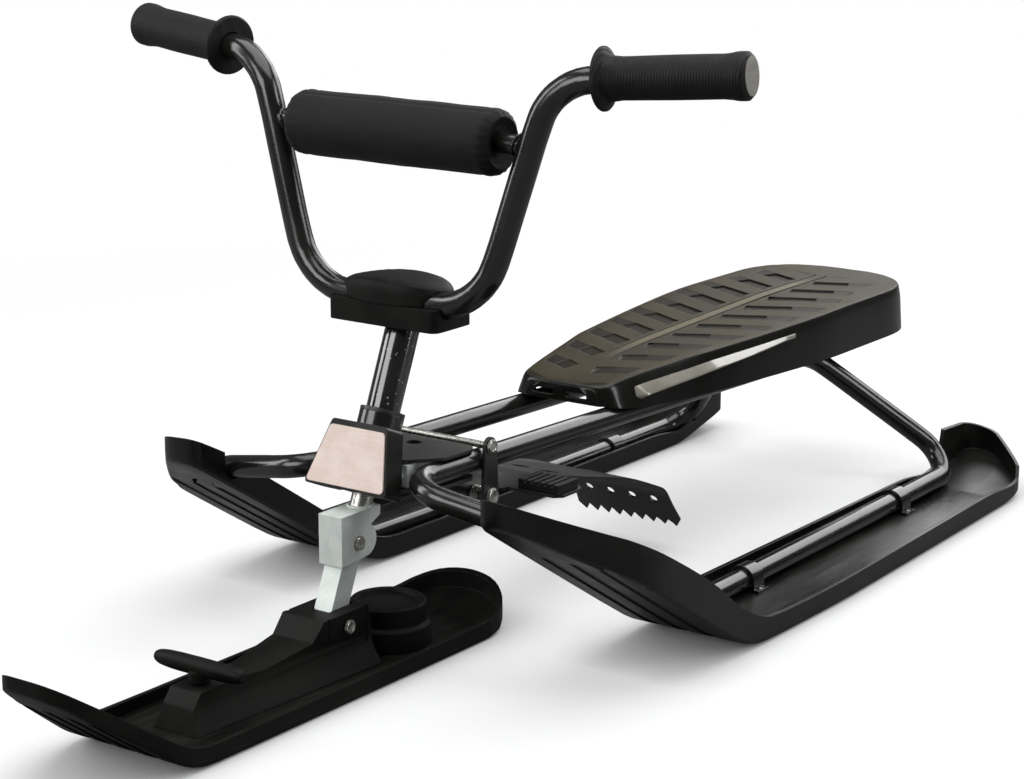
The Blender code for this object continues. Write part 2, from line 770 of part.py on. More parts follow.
def seat_place(point):
    """Shape the flat seat blank: rising deck, deeper skirt behind, shoulders drawn in."""
    skirt_z = [(SEAT_FRONT_Y, 0.160), (0.110, 0.153), (0.300, 0.150), (SEAT_REAR_Y, 0.148)]
    draw_in = [(SEAT_FRONT_Y, 0.150), (0.110, 0.140), (0.280, 0.060), (SEAT_REAR_Y, 0.040)]
    share = point.z / SEAT_BLANK_HEIGHT
    low = between(point.y, skirt_z)
    high = deck_z(point.y)
    inward = 1 - between(point.y, draw_in) * share
    return Vector((point.x * inward, point.y, low + (high - low) * share))


def make_seat():
    """The moulded seat: a hollow shell with chevron ribs on its deck and bosses beneath."""
    corners = seat_corners()
    seat = flat_solid("seat_shell", [flat_outline(corners)], SEAT_BLANK_HEIGHT)
    bevelled(seat, 0.007, 2, lambda point: point.z > SEAT_BLANK_HEIGHT - 1e-6)
    hollow = flat_solid("hollow", [flat_outline(inset(corners, SEAT_WALL))], SEAT_BLANK_HEIGHT)
    hollow.location.z = -SEAT_WALL
    tools = [hollow]
    first_y = SEAT_FRONT_Y + 0.030
    for number in range(SEAT_RIB_COUNT):
        y = first_y + number * SEAT_RIB_PITCH
        reach = between(y, [(0.090, 0.020), (0.280, 0.044), (0.420, 0.050), (0.500, 0.036)])
        for sign in (-1, 1):
            groove = box("groove", (reach, SEAT_RIB_WIDTH, 2 * SEAT_RIB_DEPTH), (0.0, 0.0, 0.0))
            groove.location = (sign * (0.013 + reach / 2), y + 0.010, SEAT_BLANK_HEIGHT)
            groove.rotation_euler = (0.0, 0.0, sign * SEAT_RIB_ANGLE)
            tools.append(groove)
    for sign in (-1, 1):
        size = (0.003, 0.400, 2 * SEAT_RIB_DEPTH)
        tools.append(box("line", size, (sign * 0.0065, 0.340, SEAT_BLANK_HEIGHT)))
        slot_corners = [(x, z, 0.0045) for x, z in
                        ((sign * 0.0185 - 0.012, 0.010), (sign * 0.0185 + 0.012, 0.010),
                         (sign * 0.0185 + 0.012, 0.021), (sign * 0.0185 - 0.012, 0.021))]
        window = flat_solid("window", [flat_outline(slot_corners)], 0.030)
        window.data.transform(Matrix.Rotation(math.radians(90), 4, "X"))
        window.location.y = SEAT_FRONT_Y + 0.020
        tools.append(window)
    seat = cut(seat, *tools)
    sliced(seat, [0.110, 0.200, 0.280, 0.300, 0.420, 0.500])
    reshaped(seat, seat_place)
    bosses = []
    for y in (BRACKET_FRONT_Y, BRACKET_REAR_Y):
        base = bracket_base(y) + BRACKET_THICKNESS + 2 * CLEARANCE
        for sign in (-1, 1):
            end = (sign * BOSS_X, y, deck_z(y) - SEAT_RIB_DEPTH - 0.0006)
            bosses.append(rod("boss", BOSS_RADIUS, (sign * BOSS_X, y, base), end, 16))
    seat = join(seat, *bosses)
    sockets = []
    for y in (BRACKET_FRONT_Y, BRACKET_REAR_Y):
        for sign in (-1, 1):
            low = (sign * BOSS_X, y, 0.140)
            high = (sign * BOSS_X, y, bracket_base(y) + 0.0145)
            sockets.append(rod("socket", SEAT_SCREW_RADIUS + CLEARANCE, low, high, 12))
    for sign in (-1, 1):
        start = (sign * RAIL_X, SEAT_FRONT_Y - 0.02, rail_z(SEAT_FRONT_Y - 0.02))
        end = (sign * RAIL_X, SEAT_FRONT_Y + 0.03, rail_z(SEAT_FRONT_Y + 0.03))
        sockets.append(rod("rail_notch", TUBE_RADIUS + 0.0012, start, end))
    return dressed(cut(seat, *sockets), SEAT_PLASTIC)


def make_seat_screw(name, x, y):
    """A pan-head screw up through the bracket into a seat boss."""
    under = bracket_base(y) - 2 * CLEARANCE
    profile = [(0.0, 0.015), (SEAT_SCREW_RADIUS, 0.014), (SEAT_SCREW_RADIUS, 0.0),
               (0.0045, 0.0), (0.0040, -0.0022), (0.0, -0.0026)]
    screw = turned(name, profile, 14)
    screw.location = (x, y, under)
    return dressed(screw, STEEL)


def make_head_tube():
    """The steering head's tube, turned about the raked axis."""
    tube_piece = ring(
        "head_tube", HEAD_TUBE_INNER_RADIUS, HEAD_TUBE_OUTER_RADIUS, HEAD_TUBE_BOTTOM, HEAD_TUBE_TOP
    )
    return dressed(on_axis(tube_piece), BLACK_PAINT)


def make_head_bush(word, end, outward):
    """A flanged bush in one end of the head tube."""
    inner = SPINDLE_RADIUS + RUNNING_CLEARANCE
    sleeve = HEAD_TUBE_INNER_RADIUS - CLEARANCE
    seat = end + outward * CLEARANCE
    face = seat + outward * BUSH_FLANGE
    depth = end - outward * BUSH_LENGTH
    profile = [(HEAD_TUBE_OUTER_RADIUS, face), (HEAD_TUBE_OUTER_RADIUS, seat), (sleeve, seat),
               (sleeve, depth), (inner, depth), (inner, face)]
    if outward < 0:
        profile.reverse()
    return dressed(on_axis(turned("head_bush_" + word, profile)), BUSH_NYLON)


def make_gusset(word, height, front_y):
    """A plate tying the rails to the head tube, notched round the tube."""
    half = RAIL_X + GUSSET_OVERHANG
    middle = (front_y + GUSSET_REAR_Y) / 2
    length = GUSSET_REAR_Y - front_y
    neck = RAIL_X - TUBE_RADIUS - 0.004
    shoulder = -length / 2 + 0.028
    corners = [(-neck, -length / 2, 0.004), (neck, -length / 2, 0.004), (half, shoulder, 0.010),
               (half, length / 2, 0.012), (-half, length / 2, 0.012), (-half, shoulder, 0.010)]
    hole = circle(0.0, length * 0.22, 0.007)
    plate = flat_solid("head_gusset_" + word, [flat_outline(corners), hole], GUSSET_THICKNESS)
    plate.location = (0.0, middle, rail_z(middle) + height)
    plate.rotation_euler = (-RAIL_DROP, 0.0, 0.0)
    low = axis_point(HEAD_Z - 0.06)
    high = axis_point(HEAD_Z + 0.06)
    plate = cut(plate, rod("bore", HEAD_TUBE_OUTER_RADIUS + CLEARANCE, low, high, 28))
    return dressed(plate, BLACK_PAINT)


def make_head_lug(word, side):
    """A zinc block beside the head tube, with a round knob on its front."""
    inner = HEAD_TUBE_OUTER_RADIUS + CLEARANCE
    outer = RAIL_X - TUBE_RADIUS - CLEARANCE
    centre = (side * (inner + outer) / 2, LUG_Y, (LUG_LOW_Z + LUG_HIGH_Z) / 2)
    lug = box("head_lug_" + word, (outer - inner, LUG_DEPTH, LUG_HIGH_Z - LUG_LOW_Z), centre)
    knob_front = (centre[0], LUG_Y - LUG_KNOB_REACH, centre[2])
    knob = rod("knob", LUG_KNOB_RADIUS, knob_front, centre, 16)
    lug = join(lug, knob)
    low = axis_point(HEAD_Z - 0.06)
    high = axis_point(HEAD_Z + 0.06)
    lug = cut(lug, rod("bore", HEAD_TUBE_OUTER_RADIUS + CLEARANCE, low, high, 28))
    return dressed(lug, ZINC)


def shield_outline(margin, top_margin):
    """Return the outline of the head shield, narrower at its top, less a margin."""
    top = SHIELD_TOP - top_margin
    low = SHIELD_BOTTOM + margin
    slope = (SHIELD_BOTTOM_HALF_WIDTH - SHIELD_TOP_HALF_WIDTH) / (SHIELD_TOP - SHIELD_BOTTOM)
    top_half = SHIELD_TOP_HALF_WIDTH + top_margin * slope - margin
    low_half = SHIELD_BOTTOM_HALF_WIDTH - margin * slope - margin
    return flat_outline([(-low_half, low, 0.003), (low_half, low, 0.003),
                         (top_half, top, 0.004), (-top_half, top, 0.004)])


def facing_forward(obj, front):
    """Turn a flat piece to stand square to the raked axis with its front face forward."""
    turn = Matrix(((1, 0, 0, 0), (0, 0, 1, -front), (0, 1, 0, 0), (0, 0, 0, 1)))
    obj.data.transform(turn)
    obj.data.flip_normals()
    return on_axis(obj)


def make_head_shield():
    """The cover in front of the head: a shallow tray that wraps back beside the head tube."""
    shield = flat_solid("head_shield", [shield_outline(0.0, 0.0)], SHIELD_DEPTH)
    pocket = flat_solid("pocket", [shield_outline(SHIELD_WALL, SHIELD_WALL)], SHIELD_DEPTH)
    pocket.location.z = SHIELD_WALL
    shield = cut(shield, pocket)
    shield = facing_forward(shield, SHIELD_FRONT)
    low = axis_point(HEAD_Z - 0.06)
    high = axis_point(HEAD_Z + 0.06)
    bore = rod("bore", HEAD_TUBE_OUTER_RADIUS + 2 * RUNNING_CLEARANCE, low, high, 28)
    return dressed(cut(shield, bore), BLACK_PLASTIC)


def make_head_plate():
    """The bare light plate on the front of the head shield."""
    plate = flat_solid(
        "head_plate", [shield_outline(PLATE_MARGIN, PLATE_TOP_MARGIN)], PLATE_THICKNESS
    )
    front = SHIELD_FRONT + CLEARANCE + PLATE_THICKNESS
    return dressed(facing_forward(plate, front), PLATE_BEIGE)


def bar_corners():
    """Return the handlebar's corners and bend radii from its left end to its right end."""
    reach = BAR_END_X - BAR_UPPER_X
    end = (BAR_END_X, BAR_UPPER_Y + reach * math.tan(BAR_SWEEP), BAR_UPPER_Z + reach * math.tan(BAR_RISE))
    left = [
        (end, 0.0),
        ((BAR_UPPER_X, BAR_UPPER_Y, BAR_UPPER_Z), BAR_UPPER_BEND_RADIUS),
        ((BAR_LOWER_X, BAR_CENTRE_Y, BAR_CENTRE_Z), BAR_LOWER_BEND_RADIUS),
    ]
    return left + [((-x, y, z), radius) for (x, y, z), radius in reversed(left)]


def make_handlebar():
    """The bent handlebar tube."""
    return dressed(tube("handlebar", rounded_path(bar_corners()), BAR_RADIUS), BLACK_PAINT)


def make_crossbar():
    """The bar across the handlebar, its ends shaped to the uprights."""
    share = (CROSSBAR_Z - BAR_CENTRE_Z) / (BAR_UPPER_Z - BAR_CENTRE_Z)
    x = BAR_LOWER_X + (BAR_UPPER_X - BAR_LOWER_X) * share
    y = crossbar_y()
    bar = rod("crossbar", CROSSBAR_RADIUS, (-x, y, CROSSBAR_Z), (x, y, CROSSBAR_Z), 18)
    mould = tube("mould", rounded_path(bar_corners()), BAR_RADIUS + CLEARANCE)
    return dressed(cut(bar, mould), BLACK_PAINT)


def crossbar_y():
    """Return where the crossbar meets the uprights' centre lines."""
    share = (CROSSBAR_Z - BAR_CENTRE_Z) / (BAR_UPPER_Z - BAR_CENTRE_Z)
    return BAR_CENTRE_Y + (BAR_UPPER_Y - BAR_CENTRE_Y) * share


def make_crossbar_pad():
    """The round foam pad on the crossbar, dished at both ends."""
    half = PAD_LENGTH / 2
    bore = CROSSBAR_RADIUS + CLEARANCE
    rim = PAD_RADIUS - 0.002
    dish = PAD_RADIUS - 0.010
    profile = [(dish, half - 0.004), (rim - 0.002, half), (rim, half), (PAD_RADIUS, half - 0.003),
               (PAD_RADIUS, -half + 0.003), (rim, -half), (rim - 0.002, -half),
               (dish, -half + 0.004), (bore, -half + 0.004), (bore, half - 0.004)]
    pad = turned("crossbar_pad", profile, 24)
    pad.rotation_euler = (0.0, math.radians(90), 0.0)
    pad.location = (0.0, crossbar_y(), CROSSBAR_Z)
    return dressed(pad, PAD_FOAM)


def make_grip(word, side):
    """A rubber grip with a thumb flange inside, a slight swell and an end bead."""
    bore = BAR_RADIUS + CLEARANCE
    end = GRIP_END_WALL
    base = end - GRIP_LENGTH
    profile = [(0.0, end), (GRIP_BEAD_RADIUS - 0.003, end), (GRIP_BEAD_RADIUS, end - 0.003),
               (GRIP_BEAD_RADIUS, end - 0.012), (GRIP_RADIUS, end - 0.016),
               (GRIP_RADIUS + 0.0008, end - 0.060), (GRIP_RADIUS - 0.0004, base + 0.012),
               (GRIP_RADIUS + 0.002, base + GRIP_FLANGE_THICKNESS + 0.002),
               (GRIP_FLANGE_RADIUS - 0.0015, base + GRIP_FLANGE_THICKNESS),
               (GRIP_FLANGE_RADIUS, base + GRIP_FLANGE_THICKNESS - 0.0015),
               (GRIP_FLANGE_RADIUS, base + 0.0015), (GRIP_FLANGE_RADIUS - 0.0015, base),
               (bore, base), (bore, CLEARANCE), (0.0, CLEARANCE)]
    grip = turned("grip_" + word, profile, 18)
    (tip, _), (bend, _) = bar_corners()[:2]
    outward = (Vector(tip) - Vector(bend)).normalized()
    outward.x *= side
    grip.rotation_mode = "QUATERNION"
    grip.rotation_quaternion = outward.to_track_quat("Z", "Y")
    grip.location = (side * tip[0], tip[1], tip[2])
    return dressed(grip, GRIP_RUBBER)


def make_clamp_base():
    """The lower half of the bar clamp, grooved under the bar."""
    half_x = CLAMP_HALF_LENGTH
    half_y = CLAMP_HALF_DEPTH
    corners = [(-half_x, -half_y, 0.008), (half_x, -half_y, 0.008),
               (half_x, half_y, 0.008), (-half_x, half_y, 0.008)]
    base = flat_solid("bar_clamp_base", [flat_outline(corners)], BAR_CENTRE_Z - CLEARANCE - CLAMP_BASE_Z)
    base.location = (0.0, CLAMP_Y, CLAMP_BASE_Z)
    bore = tube("bore", rounded_path(bar_corners()), BAR_RADIUS + CLEARANCE)
    return dressed(cut(base, bore, *bolt_holes()), BLACK_PLASTIC)


def bolt_places():
    """Return where the two clamp bolts stand, beside the bar."""
    y = BAR_CENTRE_Y + BAR_RADIUS + 0.0065
    return {word: (side * 0.030, y) for word, side in SIDES.items()}


def bolt_holes():
    """Return the cutters of the clamp bolts' holes."""
    holes = []
    for x, y in bolt_places().values():
        holes.append(rod("hole", CLAMP_BOLT_RADIUS + CLEARANCE, (x, y, 0.25), (x, y, COVER_TOP_Z - 0.014), 14))
    return holes


def make_clamp_cover():
    """The oval domed cover that holds the bar down."""
    base_z = BAR_CENTRE_Z + CLEARANCE
    height = COVER_TOP_Z - base_z
    outline = [(COVER_HALF_LENGTH * math.cos(a), COVER_HALF_DEPTH * math.sin(a))
               for a in (2 * math.pi * n / 24 for n in range(24))]
    cover = flat_solid("bar_clamp_cover", [outline], height)
    bevelled(cover, 0.007, 2, lambda point: point.z > height - 1e-6)
    sliced(cover, [COVER_HALF_LENGTH * share for share in (-0.5, 0.0, 0.5)], (1.0, 0.0, 0.0))

    def place(point):
        fall = COVER_FALL * (point.x / COVER_HALF_LENGTH) ** 2 * point.z / height
        return Vector((point.x, point.y, point.z - fall))

    reshaped(cover, place)
    cover.location = (0.0, CLAMP_Y, base_z)
    bore = tube("bore", rounded_path(bar_corners()), BAR_RADIUS + CLEARANCE)
    return dressed(cut(cover, bore, *bolt_holes()), BLACK_PLASTIC)


def make_clamp_bolt(word, x, y):
    """A bolt up through the clamp base into the cover."""
    length = COVER_TOP_Z - 0.016 - CLAMP_BASE_Z
    profile = [(0.0, length), (CLAMP_BOLT_RADIUS, length - 0.001), (CLAMP_BOLT_RADIUS, 0.0),
               (0.0048, 0.0), (0.0048, -0.0035), (0.0, -0.0035)]
    bolt = turned("clamp_bolt_" + word, profile, 14)
    bolt.location = (x, y, CLAMP_BASE_Z - CLEARANCE)
    return dressed(bolt, STEEL)


def make_column():
    """The outer steering column between the head and the bar clamp, cut level at its top."""
    bottom = HEAD_TUBE_TOP + CLEARANCE + BUSH_FLANGE + CLEARANCE
    column = on_axis(ring("steering_column", SPINDLE_RADIUS + CLEARANCE, COLUMN_RADIUS, bottom, 0.125))
    top = CLAMP_BASE_Z - CLEARANCE
    above = box("above", (0.1, 0.1, 0.06), (0.0, BAR_CENTRE_Y, top + 0.03))
    return dressed(cut(column, above), BLACK_PAINT)


def make_spindle():
    """The solid spindle through the head, cut level where the fork is welded on."""
    start = axis_point(HEAD_Z - 0.06)
    end = axis_point(HEAD_Z + SPINDLE_TOP * math.cos(RAKE))
    spindle = rod("steering_spindle", SPINDLE_RADIUS, start, end, 24)
    bottom = FORK_TOP_Z + CLEARANCE
    below = box("below", (0.1, 0.1, 0.06), (0.0, start.y, bottom - 0.03))
    return dressed(cut(spindle, below), STEEL)


def make_collar():
    """The collar that keeps the spindle up in the head."""
    top = HEAD_TUBE_BOTTOM - 2 * CLEARANCE - BUSH_FLANGE
    collar = ring("steering_collar", SPINDLE_RADIUS + CLEARANCE, COLLAR_RADIUS, top - COLLAR_THICKNESS, top)
    return dressed(on_axis(collar), ZINC)


def leg_y(z):
    """Return the middle of the fork leg at a height."""
    return PIVOT_Y + (z - PIVOT_Z) * math.tan(RAKE)


def leg_outline(half, top_z):
    """Return the leg's side outline in (y, z): round at the pivot, slanting up to its top."""
    up = Vector((math.sin(RAKE), math.cos(RAKE)))
    across = Vector((math.cos(RAKE), -math.sin(RAKE)))
    pivot = Vector((PIVOT_Y, PIVOT_Z))
    top = pivot + up * ((top_z - PIVOT_Z) / math.cos(RAKE))
    points = [top + across * half, top - across * half]
    for number in range(9):
        angle = math.pi * number / 8
        points.append(pivot - across * half * math.cos(angle) - up * half * math.sin(angle))
    return points


def bolt_x(name, radius, y, z, reach, head_radius, head):
    """Return a bolt lying across the sled, with a round head past its reach on one side."""
    profile = [(0.0, reach + head), (head_radius - 0.0008, reach + head), (head_radius, reach + head - 0.0008),
               (head_radius, reach), (radius, reach), (radius, -reach - 0.004), (0.0, -reach - 0.004)]
    bolt = turned(name, profile, 18)
    bolt.rotation_euler = (0.0, math.radians(90), 0.0)
    bolt.location = (0.0, y, z)
    return bolt


def nut_x(name, radius, y, z, reach, size):
    """Return the six-sided nut on the far end of a bolt that lies across the sled."""
    inner = (radius + CLEARANCE) / math.cos(math.radians(30))
    nut = ring(name, inner, size, -reach - 0.0045, -reach, 6)
    nut.rotation_euler = (0.0, math.radians(90), 0.0)
    nut.location = (0.0, y, z)
    return nut


def make_fork_bracket():
    """The zinc channel under the spindle: front wall, top wall and two rounded cheeks."""
    boss = 0.014
    tail = [(FORK_BOLT_Y + 0.009 + boss * math.cos(a), FORK_BOLT_Z + boss * math.sin(a))
            for a in (math.radians(60 - 20 * n) for n in range(8))]
    outline = [(FORK_FRONT_Y, FORK_BOTTOM_Z), (FORK_FRONT_Y, FORK_TOP_Z), (FORK_REAR_Y, FORK_TOP_Z),
               (FORK_REAR_Y, FORK_TOP_Z - 0.008)] + tail
    bracket = side_solid("fork_bracket", outline, FORK_HALF_WIDTH)
    size = (2 * (FORK_HALF_WIDTH - FORK_WALL), 0.09, 0.09)
    centre = (0.0, FORK_FRONT_Y + FORK_WALL + 0.045, FORK_TOP_Z - FORK_WALL - 0.045)
    hole = rod("hole", FORK_BOLT_RADIUS + CLEARANCE, (-0.02, FORK_BOLT_Y, FORK_BOLT_Z),
               (0.02, FORK_BOLT_Y, FORK_BOLT_Z), 16)
    return dressed(cut(bracket, box("channel", size, centre), hole), ZINC)


def make_fork_leg():
    """The slanting channel leg that hangs in the bracket and carries the front ski."""
    half_width = FORK_HALF_WIDTH - FORK_WALL - CLEARANCE
    leg = side_solid("fork_leg", leg_outline(LEG_HALF_DEPTH, LEG_TOP_Z), half_width)
    middle_z = (LEG_TOP_Z + PIVOT_Z) / 2
    channel = box("channel", (2 * (half_width - LEG_WALL), 2 * LEG_HALF_DEPTH, 0.2),
                  (0.0, leg_y(middle_z) + LEG_WALL, middle_z))
    channel.rotation_euler = (-RAKE, 0.0, 0.0)
    holes = []
    for y, z, radius in ((FORK_BOLT_Y, FORK_BOLT_Z, FORK_BOLT_RADIUS), (PIVOT_Y, PIVOT_Z, PIVOT_BOLT_RADIUS)):
        holes.append(rod("hole", radius + CLEARANCE, (-0.02, y, z), (0.02, y, z), 16))
    return dressed(cut(leg, channel, *holes), ZINC)


def front_ski_corners():
    """Return the front ski's outline: pointed nose, round tail."""
    half = FRONT_SKI_HALF_WIDTH
    return [
        (-half * 0.5, FRONT_SKI_TIP_Y, 0.028),
        (half * 0.5, FRONT_SKI_TIP_Y, 0.028),
        (half, FRONT_SKI_TIP_Y + 0.095, 0.080),
        (half, FRONT_SKI_TAIL_Y, 0.054),
        (-half, FRONT_SKI_TAIL_Y, 0.054),
        (-half, FRONT_SKI_TIP_Y + 0.095, 0.080),
    ]


def make_front_ski():
    """The steered ski: low rims, upturned ribbed nose and a raised round tail."""
    rim_table = [(FRONT_SKI_TIP_Y, 0.008), (FRONT_SKI_NOSE_START_Y - 0.040, 0.011),
                 (FRONT_SKI_TAIL_START_Y - 0.020, 0.011), (FRONT_SKI_TAIL_Y, 0.015)]
    blank_rim = 0.011
    corners = front_ski_corners()
    ski = flat_solid("front_ski", [flat_outline(corners)], FRONT_SKI_FLOOR + blank_rim)
    bevelled(ski, 0.0025, 1, lambda point: point.z < 1e-6)
    pocket = flat_solid("pocket", [flat_outline(inset(corners, FRONT_SKI_WALL))], 2 * blank_rim)
    pocket.location.z = FRONT_SKI_FLOOR
    places = [FRONT_SKI_HALF_WIDTH * share for share in (-0.56, -0.19, 0.19, 0.56)]
    start = FRONT_SKI_NOSE_START_Y
    spans = [(FRONT_SKI_TIP_Y + 0.033, start - 0.025), (start + 0.005, FRONT_SKI_TAIL_START_Y - 0.005)]
    ski = cut(ski, pocket, *ski_grooves("groove", places, 0.011, spans))
    stations = [row[0] for row in rim_table]
    stations += arc_stations(
        FRONT_SKI_NOSE_START_Y, FRONT_SKI_NOSE_RADIUS, FRONT_SKI_NOSE_ANGLE, -1, 4
    )
    stations += arc_stations(
        FRONT_SKI_TAIL_START_Y, FRONT_SKI_TAIL_RADIUS, FRONT_SKI_TAIL_ANGLE, 1, 3
    )
    sliced(ski, sorted(set(stations)))

    def place(point):
        above = max(0.0, point.z - FRONT_SKI_FLOOR)
        height = min(point.z, FRONT_SKI_FLOOR) + above * between(point.y, rim_table) / blank_rim
        return Vector((point.x, point.y, height + front_ski_base(point.y)))

    return dressed(reshaped(ski, place), BLACK_PLASTIC)


def make_front_mast():
    """The moulded housing round the pivot: tower, falling ridge and socket for the tow handle."""
    base = FRONT_SKI_FLOOR + CLEARANCE
    tower_front = PIVOT_Y - 0.030
    outline = [(MAST_FRONT_Y, base), (MAST_FRONT_Y + 0.006, 0.026), (MAST_FRONT_Y + 0.014, SOCKET_TOP_Z),
               (HANDLE_Y + 0.020, SOCKET_TOP_Z + 0.0015), (HANDLE_Y + 0.055, 0.034), (tower_front - 0.014, 0.041),
               (tower_front, MAST_TOP_Z), (MAST_REAR_Y - 0.004, MAST_TOP_Z),
               (MAST_REAR_Y - 0.001, 0.030), (MAST_REAR_Y, base)]
    mast = side_solid("front_mast", outline, MAST_HALF_WIDTH)
    sliced(mast, [0.014, 0.024], (0.0, 0.0, 1.0))

    def place(point):
        flare = between(point.z, [(base, MAST_BASE_HALF_WIDTH), (0.014, 0.0265), (0.024, MAST_HALF_WIDTH)])
        taper = between(point.y, [(MAST_FRONT_Y, 0.70), (HANDLE_Y + 0.055, 0.72), (tower_front, 1.0)])
        return Vector((point.x / MAST_HALF_WIDTH * flare * taper, point.y, point.z))

    reshaped(mast, place)
    half_width = FORK_HALF_WIDTH - FORK_WALL + CLEARANCE
    swing = side_solid("swing", leg_outline(LEG_HALF_DEPTH + MAST_SWING_CLEARANCE, 0.08), half_width)
    hole = rod("hole", PIVOT_BOLT_RADIUS + CLEARANCE, (-0.04, PIVOT_Y, PIVOT_Z), (0.04, PIVOT_Y, PIVOT_Z), 18)
    socket = rod("socket", STALK_RADIUS + CLEARANCE, (0.0, HANDLE_Y, SOCKET_TOP_Z - STALK_DEPTH - CLEARANCE),
                 (0.0, HANDLE_Y, 0.06), 16)
    grooves = []
    for sign in (-1, 1):
        for y in (PIVOT_Y - 0.024, PIVOT_Y + 0.022):
            grooves.append(rod("groove", 0.0022, (sign * (MAST_HALF_WIDTH + 0.0006), y, 0.024),
                               (sign * (MAST_HALF_WIDTH + 0.0006), y, 0.06), 8))
    return dressed(cut(mast, swing, hole, socket, *grooves), BLACK_PLASTIC)


def make_tow_handle():
    """The T-shaped tow handle that plugs into the ridge."""
    half = HANDLE_LENGTH / 2
    profile = [(0.0, half), (0.004, half - 0.001), (0.0062, half - 0.005), (HANDLE_RADIUS, half - 0.020),
               (HANDLE_RADIUS, 0.0), (HANDLE_RADIUS, 0.020 - half), (0.0062, 0.005 - half),
               (0.004, 0.001 - half), (0.0, -half)]
    handle = turned("tow_handle", profile, 16)
    handle.rotation_euler = (0.0, math.radians(90), 0.0)
    handle.location = (0.0, HANDLE_Y, HANDLE_Z)
    handle = baked(handle)
    stalk = rod("stalk", STALK_RADIUS, (0.0, HANDLE_Y, SOCKET_TOP_Z - STALK_DEPTH), (0.0, HANDLE_Y, HANDLE_Z), 16)
    flange = rod("flange", 0.0085, (0.0, HANDLE_Y, SOCKET_TOP_Z + 0.0025), (0.0, HANDLE_Y, HANDLE_Z - 0.003), 16)
    return dressed(join(handle, stalk, flange), BLACK_PLASTIC)


def make_reel_housing():
    """The round rope-reel housing behind the mast, with a sunken ring in its top."""
    base = FRONT_SKI_FLOOR + CLEARANCE
    inner = REEL_RADIUS - REEL_WALL
    top_inner = REEL_TOP_Z - REEL_WALL - 0.003
    profile = [(0.0, REEL_TOP_Z - 0.003), (0.024, REEL_TOP_Z - 0.003), (0.026, REEL_TOP_Z),
               (REEL_RADIUS - 0.002, REEL_TOP_Z), (REEL_RADIUS, REEL_TOP_Z - 0.002),
               (REEL_RADIUS, REEL_STEP_Z), (REEL_BASE_RADIUS - 0.002, REEL_STEP_Z - 0.003),
               (REEL_BASE_RADIUS, base), (inner, base), (inner, top_inner), (0.004, top_inner),
               (0.004, base + 0.002), (0.0, base + 0.002)]
    housing = turned("reel_housing", profile, 24)
    housing.location = (0.0, REEL_Y, 0.0)
    return dressed(housing, BLACK_PLASTIC)


def make_reel_drum():
    """The flanged rope drum on the housing's inner post."""
    bottom = FRONT_SKI_FLOOR + CLEARANCE + 0.002
    top = REEL_TOP_Z - REEL_WALL - 0.003 - 0.001
    flange = 0.002
    profile = [(DRUM_RADIUS + 0.005, top), (DRUM_RADIUS + 0.005, top - flange), (DRUM_RADIUS, top - flange),
               (DRUM_RADIUS, bottom + flange), (DRUM_RADIUS + 0.005, bottom + flange),
               (DRUM_RADIUS + 0.005, bottom), (0.004 + RUNNING_CLEARANCE, bottom),
               (0.004 + RUNNING_CLEARANCE, top)]
    drum = turned("reel_drum", profile, 20)
    drum.location = (0.0, REEL_Y, 0.0)
    return dressed(drum, BUSH_NYLON)


def make_hanger(word, side):
    """A cheek on the outside of a rail that carries the brake axle."""
    bolt_z = hanger_bolt_z()
    round_end = [(AXLE_Y - HANGER_HALF_WIDTH * math.cos(a), AXLE_Z - HANGER_HALF_WIDTH * math.sin(a))
                 for a in (math.pi * n / 8 for n in range(9))]
    round_top = [(AXLE_Y + 0.008 * math.cos(a), bolt_z + 0.008 * math.sin(a))
                 for a in (math.pi * n / 6 for n in range(7))]
    hanger = side_solid("brake_hanger_" + word, round_end + round_top, HANGER_THICKNESS / 2)
    hanger.location.x = side * (HANGER_X + HANGER_THICKNESS / 2)
    hanger = baked(hanger)
    holes = []
    for z, radius in ((AXLE_Z, AXLE_RADIUS), (bolt_z, HANGER_BOLT_RADIUS)):
        low = (side * (HANGER_X - 0.01), AXLE_Y, z)
        high = (side * (HANGER_X + 0.01), AXLE_Y, z)
        holes.append(rod("hole", radius + CLEARANCE, low, high, 18))
    return dressed(cut(hanger, *holes), BLACK_PAINT)


def hanger_bolt_z():
    """Return the height of the bolt that lies across the tops of the rails."""
    return rail_z(AXLE_Y) + (TUBE_RADIUS + HANGER_BOLT_RADIUS + CLEARANCE) / math.cos(RAIL_DROP)


def brake_path():
    """Return the brake plate's side line in (y, z), from its sleeve back and down to its teeth."""
    corners = [
        ((0.0, AXLE_Y + SLEEVE_RADIUS - 0.001, AXLE_Z), 0.0),
        ((0.0, -0.044, AXLE_Z), 0.060),
        ((0.0, 0.100, AXLE_Z - 0.036), 0.060),
        ((0.0, 0.160, 0.064), 0.030),
        ((0.0, 0.187, 0.022), 0.0),
    ]
    points = rounded_path(corners, step=math.radians(16))
    return [Vector((point.y, point.z)) for point in points]


def folded(obj, path):
    """Fold a flat sheet, drawn with its length along y, so that it follows a side line."""
    starts = [0.0]
    for first, second in zip(path, path[1:]):
        starts.append(starts[-1] + (second - first).length)
    sliced(obj, starts[1:-1])
    runs = [(second - first).normalized() for first, second in zip(path, path[1:])]
    normals = [Vector((-run.y, run.x)) for run in runs]

    def place(point):
        index = 0
        while index < len(runs) - 1 and point.y > starts[index + 1] + 1e-6:
            index += 1
        offset = normals[index]
        for near in (index - 1, index + 1):
            corner = max(index, near)
            touches = 0 <= near < len(runs) and abs(point.y - starts[corner]) < 1e-6
            if touches:
                mitre = (normals[index] + normals[near]).normalized()
                offset = mitre / mitre.dot(normals[index])
        at = path[index] + runs[index] * (point.y - starts[index]) + offset * point.z
        return Vector((point.x, at.x, at.y))

    return reshaped(obj, place)


